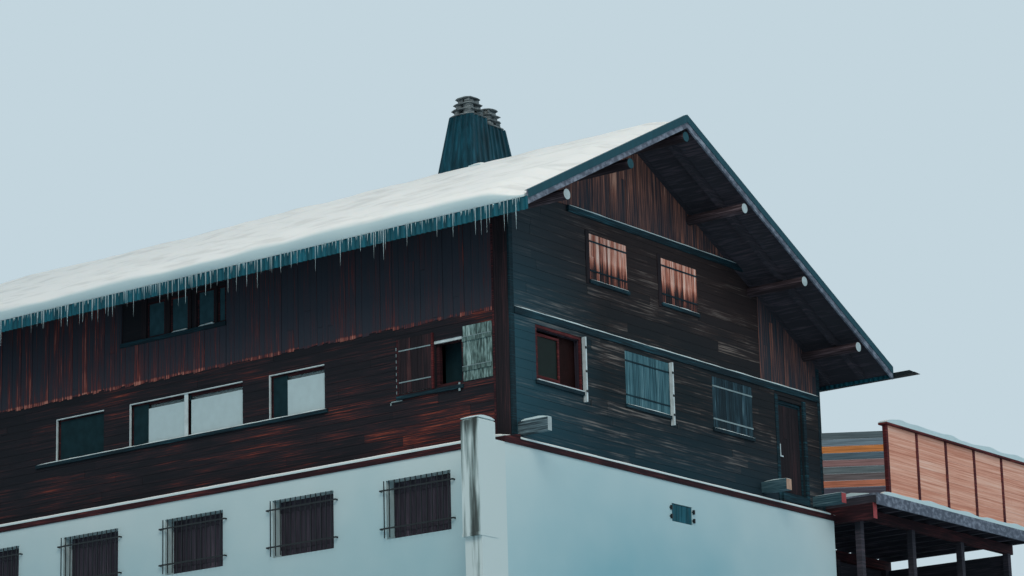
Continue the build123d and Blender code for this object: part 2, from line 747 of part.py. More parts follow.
nodes["gable_window_frames"] = solids_of(
    *[ring_x(span, gable_frame_y, GABLE_WINDOW_Z, FRAME_WIDTH) for span in GABLE_WINDOWS],
    *[ring_x(span, upper_frame_y, UPPER_WINDOW_Z, UPPER_FRAME) for span in UPPER_WINDOWS],
    *[ring_x(span, back_frame_y, GABLE_WINDOW_Z, FRAME_WIDTH) for span in GABLE_WINDOWS],
    *[ring_x(span, back_upper_frame_y, UPPER_WINDOW_Z, UPPER_FRAME) for span in UPPER_WINDOWS],
)

# Sills
side_sill_y = (SIDE_WINDOWS[0][0] - SIDE_SILL_RUN[0], SIDE_WINDOWS[-1][1] + SIDE_SILL_RUN[1])
shutter_sill_y = (OPEN_LEAF[1], SHUTTER_END + SILL_OVER)
loft_sill_y = (LOFT_LIGHTS[0][0] - LOFT_SILL_RUN[0], LOFT_LIGHTS[-1][1] + LOFT_SILL_RUN[1])
sill_x = (-SILL_PROUD, 0)
right_sill_x = (HOUSE_WIDTH, HOUSE_WIDTH + SILL_PROUD)
side_sill_z = (SIDE_WINDOW_Z[0] - SILL_THICK, SIDE_WINDOW_Z[0])
shutter_sill_z = (side_sill_z[0] - SHUTTER_SILL_DROP, side_sill_z[1] - SHUTTER_SILL_DROP)
gable_sills = [
    block(
        (span[0] - SILL_OVER, span[1] + FOLDED_LEAF[0] - SILL_CLEAR),
        y,
        (GABLE_WINDOW_Z[0] - SILL_THICK, GABLE_WINDOW_Z[0]),
    )
    for span in GABLE_WINDOWS
    for y in ((-SILL_PROUD, 0), (HOUSE_LENGTH, HOUSE_LENGTH + SILL_PROUD))
]
upper_sills = [
    block(
        (span[0] - SILL_OVER, span[1] + SILL_OVER),
        y,
        (UPPER_WINDOW_Z[0] - SILL_THICK, UPPER_WINDOW_Z[0]),
    )
    for span in UPPER_WINDOWS
    for y in ((-SILL_PROUD, 0), (HOUSE_LENGTH, HOUSE_LENGTH + SILL_PROUD))
]
nodes["window_sills"] = solids_of(
    block(sill_x, side_sill_y, side_sill_z),
    block(sill_x, shutter_sill_y, shutter_sill_z),
    block(sill_x, loft_sill_y, (LOFT_Z[0] - LOFT_SILL_THICK, LOFT_Z[0])),
    *[block(right_sill_x, (span[0] - SILL_OVER, span[1] + SILL_OVER), side_sill_z) for span in RIGHT_WINDOWS],
    *gable_sills,
    *upper_sills,
)

# Shutters: one closed leaf and one open leaf on the side, closed pairs on the gables,
# and folded leaves that stand out square from the wall
leaf_x = (-SHUTTER_THICK, 0)
leaf_z = (SIDE_WINDOW_Z[0] + SHUTTER_LIFT, attic(-SHUTTER_HEAD_DROP))
closed_leaf = block(leaf_x, (OPEN_HALF[1] + SHUTTER_LAP, SHUTTER_END), leaf_z)
nodes["side_shutters"] = solids_of(closed_leaf, block(leaf_x, OPEN_LEAF, leaf_z))


def closed_pair(span, y, z):
    """Two closed leaves that meet in the middle of an opening."""
    middle = sum(span) / 2
    return [
        block((span[0], middle - PAIR_GAP / 2), y, z),
        block((middle + PAIR_GAP / 2, span[1]), y, z),
    ]


front_leaf_y = (-SHUTTER_PROUD, SHUTTER_BACK)
back_leaf_y = (HOUSE_LENGTH - SHUTTER_BACK, HOUSE_LENGTH + SHUTTER_PROUD)
closed_places = [(span, front_leaf_y, GABLE_WINDOW_Z) for span in GABLE_WINDOWS[1:]]
closed_places += [(span, back_leaf_y, GABLE_WINDOW_Z) for span in GABLE_WINDOWS]
closed_places += [(span, y, UPPER_WINDOW_Z) for span in UPPER_WINDOWS for y in (front_leaf_y, back_leaf_y)]
closed_leaves = [leaf for place in closed_places for leaf in closed_pair(*place)]
nodes["gable_shutters"] = solids_of(*closed_leaves)
folded_z = (level(FOLDED_FOOT), attic(-FOLDED_HEAD_DROP))
nodes["folded_shutters"] = solids_of(*[
    block((span[1] + FOLDED_LEAF[0], span[1] + FOLDED_LEAF[1]), (-FOLDED_REACH, 0), folded_z)
    for span in GABLE_WINDOWS[:2]
])


# Base windows: plank shutters deep in the reveal, an iron grille outside, and a vent
def base_leaf(face, sign, span):
    near = face + sign * BASE_SHUTTER_DEPTH
    return block(sorted((near, near + sign * SHUTTER_THICK)), span, BASE_WINDOW_Z)


nodes["base_shutters"] = solids_of(
    *[base_leaf(BASE_LEFT, 1, span) for span in LEFT_BASE_WINDOWS],
    *[base_leaf(BASE_RIGHT, -1, span) for span in RIGHT_BASE_WINDOWS],
)


def grille(span, face, sign):
    """Upright bars welded to two flats, whose ends turn back into the wall."""
    x = around(face + sign * GRILLE_PROUD, GRILLE_BAR)
    lug_x = sorted((x[0] if sign > 0 else x[1], face))
    gaps = int((span[1] - span[0]) / GRILLE_PITCH)
    first = sum(span) / 2 - gaps * GRILLE_PITCH / 2
    bar_z = inset(BASE_WINDOW_Z, GRILLE_BAR)
    run = inset(span, -GRILLE_RUN_OUT)
    bars = [block(x, around(first + gap * GRILLE_PITCH, GRILLE_BAR), bar_z) for gap in range(gaps + 1)]
    whole = bars[0]
    for bar in bars[1:]:
        whole += bar
    for z in inset(BASE_WINDOW_Z, GRILLE_FLAT_IN):
        whole += block(x, run, around(z, GRILLE_FLAT))
        for y in (run[0] + GRILLE_BAR / 2, run[1] - GRILLE_BAR / 2):
            whole += block(lug_x, around(y, GRILLE_BAR), around(z, GRILLE_FLAT))
    return whole


vent_y = (BASE_FRONT + VENT_DEPTH, BASE_FRONT + VENT_DEPTH + VENT_PLATE)
nodes["base_grilles"] = solids_of(
    block(VENT_SPAN, vent_y, VENT_Z),
    *[grille(span, BASE_LEFT, -1) for span in LEFT_BASE_WINDOWS],
    *[grille(span, BASE_RIGHT, 1) for span in RIGHT_BASE_WINDOWS],
)

# Doors: a leaf in a frame, and jamb posts on the wall's face
jamb_y = (-JAMB_THICK, 0)
jamb_z = (level(JAMB_FOOT), DOOR_Z[1] + JAMB_OVER)
door_leaf_y = (LOG_WALL / 2, LOG_WALL / 2 + LEAF_THICK)
door_frame_y = (LOG_WALL / 2 - DOOR_LAP, LOG_WALL / 2)
nodes["upper_door"] = solids_of(
    block(inset(DOOR, DOOR_LAP), door_leaf_y, (DOOR_Z[0], DOOR_Z[1] - DOOR_LAP)),
    ring_x(DOOR, door_frame_y, DOOR_Z, DOOR_FRAME),
    block((DOOR[0] - JAMB_WIDTH, DOOR[0]), jamb_y, jamb_z),
    block((DOOR[1], DOOR[1] + JAMB_WIDTH), jamb_y, jamb_z),
)
nodes["door_step"] = block(DOOR, (-STEP_PROUD, 0), (level(STEP_FOOT), DOOR_Z[0]))
terrace_leaf_x = (HOUSE_WIDTH - LOG_WALL / 2 - LEAF_THICK, HOUSE_WIDTH - LOG_WALL / 2)
terrace_frame_x = (HOUSE_WIDTH - LOG_WALL / 2, HOUSE_WIDTH - LOG_WALL / 2 + DOOR_LAP)
nodes["terrace_door"] = solids_of(
    block(terrace_leaf_x, inset(TERRACE_DOOR, DOOR_LAP), (TERRACE_DOOR_Z[0], TERRACE_DOOR_Z[1] - DOOR_LAP)),
    ring_y(TERRACE_DOOR, terrace_frame_x, TERRACE_DOOR_Z, DOOR_FRAME),
)

# Belts on the gables, cut to the underside of the roof
BELT_TOP = attic(BELT_OVER)
UPPER_BELT_TOP = attic(BELT_UPPER)
belt_run = (CORNER_GABLE, HOUSE_WIDTH - CORNER_GABLE)
upper_belt_run = (RIDGE_X - BELT_UPPER_LEFT, HOUSE_WIDTH)
belt_space = under_roof(RAFTER_DROP, (ROOF_FRONT, ROOF_BACK))
belts = [
    block(run, y, (top - BELT_DEPTH, top)) & belt_space
    for run, top in ((belt_run, BELT_TOP), (upper_belt_run, UPPER_BELT_TOP))
    for y in ((-BELT_PROUD, 0), (HOUSE_LENGTH, HOUSE_LENGTH + BELT_PROUD))
]
nodes["belt_boards"] = solids_of(*belts)


# Corner boards: a wide one on the side and a narrow one on the gable
def corner_boards(x, y, sign_x, sign_y, fall, top):
    side_z = (FOOT + fall + LEDGE_THICK, top)
    face_z = (FOOT + LEDGE_FALL + LEDGE_THICK, top)
    side_x = sorted((x, x + sign_x * CORNER_THICK))
    side_y = sorted((y + sign_y * CORNER_THICK, y - sign_y * CORNER_SIDE))
    face_x = sorted((x, x - sign_x * CORNER_GABLE))
    face_y = sorted((y, y + sign_y * CORNER_THICK))
    return [block(side_x, side_y, side_z), block(face_x, face_y, face_z)]


right_top = roof_line(HOUSE_WIDTH, PURLIN_DROP) - CORNER_CLEAR
nodes["corner_boards"] = solids_of(
    *corner_boards(0, 0, -1, -1, LEDGE_FALL_SIDE, PLATE_SEAT),
    *corner_boards(HOUSE_WIDTH, 0, 1, -1, LEDGE_FALL, right_top),
    *corner_boards(0, HOUSE_LENGTH, -1, 1, LEDGE_FALL_SIDE, PLATE_SEAT),
    *corner_boards(HOUSE_WIDTH, HOUSE_LENGTH, 1, 1, LEDGE_FALL, right_top),
)
beam_x = [FIRST_BEAM, *[HOUSE_WIDTH - offset for offset in BEAMS_FROM_RIGHT]]
nodes["beam_ends"] = solids_of(*[
    block(around(x, width), (-out, 0), (level(foot), level(foot + depth)))
    for x, width, out, foot, depth in zip(beam_x, BEAM_WIDTHS, BEAM_OUT, BEAM_FEET, BEAM_END_DEPTH)
])


# Terrace: posts, beams, joists and boards, with a fascia across the joist ends
def spread(limits, margin, count):
    """Even places between two limits."""
    first, last = inset(limits, margin)
    return [first + number * (last - first) / (count - 1) for number in range(count)]


terrace_x = (TERRACE_LEFT, TERRACE_RIGHT)
deck_z = (level(DECK_TOP - DECK_BOARD), level(DECK_TOP))
joist_z = (deck_z[0] - JOIST_DEPTH, deck_z[0])
beam_z = (joist_z[0] - BEAM_DEPTH, joist_z[0])
joist_y = (TERRACE_FRONT + TERRACE_FASCIA, TERRACE_BACK)
beam_rows = (TERRACE_FRONT + FRONT_ROW_INSET, TERRACE_BACK - BEAM_INSET)
beam_x_run = (TERRACE_LEFT + SIDE_BEAM_WIDTH, TERRACE_RIGHT)
side_beam_z = (joist_z[0] - SIDE_BEAM_DEPTH, joist_z[0])
side_beam = block(
    (TERRACE_LEFT, beam_x_run[0]),
    (TERRACE_FRONT + SIDE_BEAM_INSET, TERRACE_BACK),
    side_beam_z,
)
row_beams = [block(beam_x_run, around(y, BEAM_WIDTH), beam_z) for y in beam_rows]
post_spots = [(x, y) for x in spread(beam_x_run, BEAM_INSET, TERRACE_POSTS) for y in beam_rows]
nodes["terrace_deck"] = block(terrace_x, (TERRACE_FRONT, TERRACE_BACK), deck_z)
nodes["terrace_joists"] = solids_of(*[
    block(around(x, JOIST_WIDTH), joist_y, joist_z) for x in spread(terrace_x, JOIST_INSET, JOISTS)
])
nodes["terrace_beams"] = solids_of(side_beam, *row_beams)
nodes["terrace_posts"] = solids_of(*[
    block(around(x, TERRACE_POST), around(y, TERRACE_POST), (0, beam_z[0])) for x, y in post_spots
])
boarding_y = beam_rows[1] + BEAM_WIDTH / 2
end_x = post_spots[-1][0] + TERRACE_POST / 2
nodes["terrace_boarding"] = solids_of(
    block(beam_x_run, (boarding_y, boarding_y + BOARDING_THICK), (0, joist_z[0])),
    block((end_x, end_x + BOARDING_THICK), (beam_rows[0], boarding_y), (0, beam_z[0])),
)
nodes["terrace_fascia"] = block(
    terrace_x,
    (TERRACE_FRONT, TERRACE_FRONT + TERRACE_FASCIA),
    (deck_z[0] - TERRACE_FASCIA_DEPTH, deck_z[0]),
)

# Screen: posts on the deck under a coping, with boarded panels between
screen_y = (TERRACE_FRONT + SCREEN_SETBACK, TERRACE_FRONT + SCREEN_SETBACK + SCREEN_POST)
screen_z = (deck_z[1], deck_z[1] + SCREEN_HEIGHT)
screen_spots = [SCREEN_LEFT + number * BAY for number in range(TERRACE_BAYS + 1)]
screen_posts = [block((x, x + SCREEN_POST), screen_y, screen_z) for x in screen_spots]
panel_y = around(sum(screen_y) / 2, SCREEN_PANEL)
panel_z = (screen_z[0] + SCREEN_LIFT, screen_z[1])
nodes["screen_panels"] = solids_of(*[
    block((x + SCREEN_POST, x + BAY), panel_y, panel_z) for x in screen_spots[:-1]
])
coping = block(
    (screen_spots[0] - COPING_OVER, screen_spots[-1] + SCREEN_POST + COPING_OVER),
    around(sum(screen_y) / 2, COPING_WIDTH),
    (screen_z[1], screen_z[1] + COPING_THICK),
)
nodes["screen_frame"] = solids_of(coping, *screen_posts)


# Fence: level planks from the corner board to the first screen post
def plank_fence():
    start = Vector(HOUSE_WIDTH, -CORNER_THICK)
    end = Vector(SCREEN_LEFT + SCREEN_POST / 2, sum(screen_y) / 2)
    run = end - start
    centre = (start + end) * 0.5
    angle = run.get_angle(Vector(1, 0))
    pitch = FENCE_HEIGHT / FENCE_PLANKS
    foot = deck_z[1] + FENCE_LIFT
    house = block(full_width, (0, HOUSE_LENGTH), STOREY_Z)
    planks = []
    for number in range(FENCE_PLANKS):
        plank = Box(run.length, FENCE_THICK, pitch - FENCE_GAP)
        plank = Pos(centre.X, centre.Y, foot + (number + 0.5) * pitch) * Rot(0, 0, -angle) * plank
        planks.append(plank - screen_posts[0] - nodes["corner_boards"] - house)
    return planks


nodes["plank_fence"] = solids_of(*plank_fence())

os.makedirs("parts", exist_ok=True)
for name, shape in nodes.items():
    export_step(shape, f"parts/{name}.step")
print(len(nodes), "nodes")
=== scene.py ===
import math
import random

import bmesh
import bpy
from bpy.props import FloatProperty, FloatVectorProperty, IntProperty, PointerProperty
from mathutils import Matrix, Vector, noise


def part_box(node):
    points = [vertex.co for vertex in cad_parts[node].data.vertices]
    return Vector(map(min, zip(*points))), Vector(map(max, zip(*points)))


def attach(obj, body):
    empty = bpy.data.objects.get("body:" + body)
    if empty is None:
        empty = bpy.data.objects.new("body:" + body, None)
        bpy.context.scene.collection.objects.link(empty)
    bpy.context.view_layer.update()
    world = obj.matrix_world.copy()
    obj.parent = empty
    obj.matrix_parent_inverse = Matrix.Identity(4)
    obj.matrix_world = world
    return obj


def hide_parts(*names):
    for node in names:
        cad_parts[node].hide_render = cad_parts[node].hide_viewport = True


bl_info = {
    "name": "Alpine Chalet",
    "version": (1, 0, 0),
    "blender": (4, 5, 0),
    "location": "View3D > Sidebar > Chalet",
    "description": "Dresses a timber chalet in boards, shutters, snow and ice",
    "category": "Object",
}

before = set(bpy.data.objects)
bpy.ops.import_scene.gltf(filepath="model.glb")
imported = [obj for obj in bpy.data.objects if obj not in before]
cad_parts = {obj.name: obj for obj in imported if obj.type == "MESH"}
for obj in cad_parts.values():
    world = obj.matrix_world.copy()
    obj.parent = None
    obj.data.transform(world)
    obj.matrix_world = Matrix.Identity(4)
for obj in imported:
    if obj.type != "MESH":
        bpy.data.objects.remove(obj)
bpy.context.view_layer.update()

# Places read from the frame, in metres
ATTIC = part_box("side_wall_left_lower")[1].z
STOREY = 2.600
SILL = ATTIC - STOREY
HOUSE_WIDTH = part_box("gable_front_lower")[1].x
HOUSE_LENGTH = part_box("gable_back")[1].y
BASE_LOW, BASE_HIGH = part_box("base_wall_front")
BASE_HIGH_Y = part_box("base_wall_back")[1].y
LEDGE_LOW, LEDGE_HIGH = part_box("ledge_boards")
BARGE_LOW, BARGE_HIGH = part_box("barge_boards")
RIDGE_TOP = BARGE_HIGH.z
EAVE_LEFT = BARGE_LOW.x
EAVE_RIGHT = BARGE_HIGH.x
ROOF_FRONT = BARGE_LOW.y
ROOF_BACK = BARGE_HIGH.y
PLATE_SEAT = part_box("side_wall_left_upper")[1].z
RIDGE_X = 4.188
RIDGE_RISE = 3.544
ROOF_FALL = RIDGE_RISE / (HOUSE_WIDTH - RIDGE_X)

# Roof layers, as drops below the top of the barge boards
SHEET_DROP = 0.100
DECK_DROP = 0.115
PURLIN_DROP = 0.330
BARGE_THICK = 0.040
FASCIA_THICK = 0.025

# Openings of the timber storeys: spans along the wall, and heights over the sill
SIDE_WINDOWS = ((4.66, 6.13), (6.86, 10.04), (10.80, 12.21))
RIGHT_WINDOWS = ((4.66, 6.13), (7.70, 9.17), (10.80, 12.21))
OPEN_HALF = (1.17, 1.86)
SIDE_HEIGHTS = (1.23, 2.16)
GABLE_WINDOWS = ((0.76, 2.28), (3.75, 5.31), (6.90, 8.42))
GABLE_HEIGHTS = (1.225, 2.335)
UPPER_WINDOWS = ((2.64, 3.93), (5.165, 6.47))
UPPER_HEIGHTS = (3.58, 4.545)
DOOR = (9.43, 10.45)
DOOR_HEIGHTS = (0.20, 2.26)
TERRACE_DOOR = (0.90, 1.92)
LOFT = (7.30, 10.30)
LOFT_HEIGHTS = (3.42, 4.37)
LOFT_PANE_FOOT = PLATE_SEAT - SILL - 0.903
LOFT_LIGHTS = ((7.33, 7.56), (7.64, 8.14), (8.38, 8.90), (9.05, 9.57))
LOFT_POSTS = ((7.57, 7.63), (8.15, 8.22), (8.30, 8.37), (8.91, 9.04), (9.58, 9.72))
BASE_FIRST = (1.17, 2.76)
BASE_PITCH = 2.92
BASE_WINDOWS = [tuple(place + BASE_PITCH * number for place in BASE_FIRST) for number in range(5)]
BASE_HEIGHTS = (-1.685, -0.54)

SCREEN_PITCH = 1.300

# The camera of the photograph, found from the house's own level and plumb lines
CAMERA_PLACE = Vector((-45.453, -34.217, -8.959))
CAMERA_YAW = math.radians(53.077)
CAMERA_PITCH = math.radians(14.597)
CAMERA_ROLL = math.radians(-1.502)
FOCAL_PIXELS = 3065
PHOTO_WIDTH = 1024
SENSOR_WIDTH = 36

UP = Vector((0, 0, 1))

# Sockets of the mix node that hold colours, and of the random value node that hold plain numbers
COLOUR_A, COLOUR_B, COLOUR_OUT = 6, 7, 2
RANDOM_LOW, RANDOM_HIGH, RANDOM_OUT = 2, 3, 1


def linear(hex_colour):
    """sRGB hex to linear red, green and blue."""
    parts = [int(hex_colour[place:place + 2], 16) / 255 for place in (1, 3, 5)]
    return [part / 12.92 if part <= 0.04045 else ((part + 0.055) / 1.055) ** 2.4 for part in parts]


def tint(label, note, hex_colour):
    return FloatVectorProperty(
        name=label, description=note, subtype="COLOR", size=3, min=0, max=1, default=linear(hex_colour)
    )


def size(label, note, value, low, high):
    return FloatProperty(
        name=label, description=note, subtype="DISTANCE", unit="LENGTH", default=value, min=low, max=high
    )


class ChaletSizes(bpy.types.PropertyGroup):
    """Sizes of the boards, sheets, snow and ice"""

    plank: size("Plank height", "Mean height of a level wall plank", 0.175, 0.08, 0.40)
    board: size("Board width", "Mean width of an upright wall board", 0.150, 0.06, 0.40)
    board_thick: size("Board thickness", "Thickness of the wall boards", 0.022, 0.01, 0.05)
    sheet_pitch: size("Sheet pitch", "Distance between two crests of the roof sheet", 0.125, 0.05, 0.30)
    sheet_wave: size("Sheet wave", "Height of a crest over the sheet's middle", 0.016, 0.005, 0.04)
    rib_pitch: size("Rib pitch", "Distance between ribs of the chimney casing", 0.160, 0.05, 0.30)
    icicle_pitch: size("Icicle pitch", "Mean distance between icicles", 0.065, 0.03, 0.50)
    icicle_length: size("Icicle length", "Length of the longest icicles", 0.62, 0.10, 1.50)
    snow_ripple: size("Snow ripple", "Height of the ripples in the roof snow", 0.095, 0.0, 0.15)
    ledge_snow: size("Ledge snow", "Depth of the snow on ledges and sills", 0.045, 0.01, 0.15)
    seed: IntProperty(name="Seed", description="Seed of every random draw", default=7, min=0)


class ChaletColours(bpy.types.PropertyGroup):
    """Colours of the finishes"""

    render: tint("Render", "Lime render of the base", "#CBD9DA")
    stain: tint("Stain", "Damp render low down", "#8DB9C4")
    burnt: tint("Burnt larch", "Darkest tone of the side planks", "#191A20")
    # The side planks' sunlit tone is a painted highlight of the low sun
    painted_sunlit_russet: tint("Russet larch", "Sunlit tone of the side planks", "#B05A40")
    # The gable planks' blue-black is partly painted shade of a gable out of the sun
    slate: tint("Slate larch", "Darkest tone of the gable planks", "#0D1A20")
    driftwood: tint("Driftwood", "Worn tone of the gable planks", "#54504F")
    enamel: tint("Enamel", "Sheet metal of the roof edges", "#0F434F")
    casing: tint("Casing", "Sheet metal of the chimney", "#113F4D")
    snow: tint("Snow", "Settled snow", "#F8F7F5")
    larch: tint("New larch", "Oiled boards of the screen", "#E2A18A")
    shutter: tint("Pale shutter", "Worn grey-green paint", "#86A2A1")
    backdrop: tint("Backdrop", "Floor and background", "#C3D5DE")


def add(tree, kind, sockets=None, stops=None, **settings):
    """A node with its settings.

    sockets gives a value or another node's output for each input. stops gives a ramp's places and colours.
    """
    node = tree.nodes.new(kind)
    for key, value in settings.items():
        setattr(node, key, value)
    for key, value in (sockets or {}).items():
        if isinstance(value, bpy.types.NodeSocket):
            tree.links.new(value, node.inputs[key])
        else:
            node.inputs[key].default_value = value
    if stops:
        ramp = node.color_ramp
        while len(ramp.elements) < len(stops):
            ramp.elements.new(0.5)
        for element, (place, colour) in zip(ramp.elements, stops):
            element.position = place
            element.color = (*(tone_of(colour) if isinstance(colour, str) else colour), 1)
    return node


def sizes():
    return bpy.context.scene.chalet_sizes


def colours():
    return bpy.context.scene.chalet_colours


def new_material(name, shine):
    """A material with the values of its shader, and its node tree."""
    made = bpy.data.materials.new(name)
    made.use_nodes = True
    for key, value in shine.items():
        made.node_tree.nodes["Principled BSDF"].inputs[key].default_value = value
    return made, made.node_tree


def dressed(made, colour, relief=None):
    """Links a colour to the shader, and a relief of a height, a strength and a distance."""
    tree = made.node_tree
    shader = tree.nodes["Principled BSDF"]
    tree.links.new(colour, shader.inputs["Base Color"])
    if relief:
        bump = add(tree, "ShaderNodeBump", dict(zip(("Height", "Strength", "Distance"), relief)))
        tree.links.new(bump.outputs["Normal"], shader.inputs["Normal"])
    return made


def shade_of(colour, share):
    """A colour made darker or paler by a share."""
    return [min(1, part * share) for part in colour]


def tone_of(name):
    """A colour of the panel by its name, or a hex colour."""
    return linear(name) if name.startswith("#") else getattr(colours(), name)


def streaks(tree, place, stretch, detail, roughness=0.5):
    """Noise drawn out along each axis."""
    drawn = add(tree, "ShaderNodeMapping", {"Vector": place, "Scale": stretch}).outputs["Vector"]
    return add(tree, "ShaderNodeTexNoise", {
        "Vector": drawn, "Scale": 1.0, "Detail": detail, "Roughness": roughness,
    }).outputs["Fac"]


def by_place(tree, place, value, spans):
    """Adds to a value what runs from least to most between two places on an axis."""
    split = add(tree, "ShaderNodeSeparateXYZ", {0: place}).outputs
    for axis, start, end, least, most in spans:
        share = add(tree, "ShaderNodeMapRange", {
            "Value": split[axis], "From Min": start, "From Max": end, "To Min": least, "To Max": most,
        })
        value = add(tree, "ShaderNodeMath", {0: value, 1: share.outputs[0]}, operation="ADD").outputs[0]
    return value


# Materials
FIBRE = 0.25


def old_wood(name, stops, run="level", glow=(), wash=(), streak=0.6, width=0.022, patch=0.5, board=0.18,
             roughness=0.85):
    """Bare softwood: fine streaks along the grain, gathered in patches, and each board in its own tone.

    The sun and rain burn it dark and wear it in places, so the tones run from near black to worn; on the side
    planks the palest streaks are painted highlights. run is level for planks and upright for boards. glow
    brightens it and wash tints it between two places on an axis;
    on several woods these paint light and shade.
    """
    made, tree = new_material(name, {"Roughness": roughness, "Specular IOR Level": 0.2})
    place = add(tree, "ShaderNodeTexCoord").outputs["Object"]
    own = add(tree, "ShaderNodeAttribute", attribute_name="shade").outputs["Fac"]
    middle = -(board + patch + FIBRE) / 2
    tone = add(tree, "ShaderNodeMath", {0: own, 1: board, 2: middle}, operation="MULTIPLY_ADD").outputs[0]
    for along, across, weight, detail in (
        (1 / streak, 1 / width, 1.0, 3.0), (0.55, 1.6, patch, 3.0), (5.0, 150.0, FIBRE, 2.0),
    ):
        stretch = (along, along, across) if run == "level" else (across, across, along)
        grain = streaks(tree, place, stretch, detail)
        tone = add(tree, "ShaderNodeMath", {
            0: grain, 1: weight, 2: tone,
        }, operation="MULTIPLY_ADD").outputs[0]
    tone = by_place(tree, place, tone, glow)
    colour = add(tree, "ShaderNodeValToRGB", {"Fac": tone}, stops=stops).outputs["Color"]
    for axis, start, end, amount, key in wash:
        colour = add(tree, "ShaderNodeMix", {
            "Factor": by_place(tree, place, 0.0, [(axis, start, end, 0.0, amount)]),
            COLOUR_A: colour, COLOUR_B: (*tone_of(key), 1),
        }, data_type="RGBA").outputs[COLOUR_OUT]
    return dressed(made, colour, (grain, 0.5, 0.004))


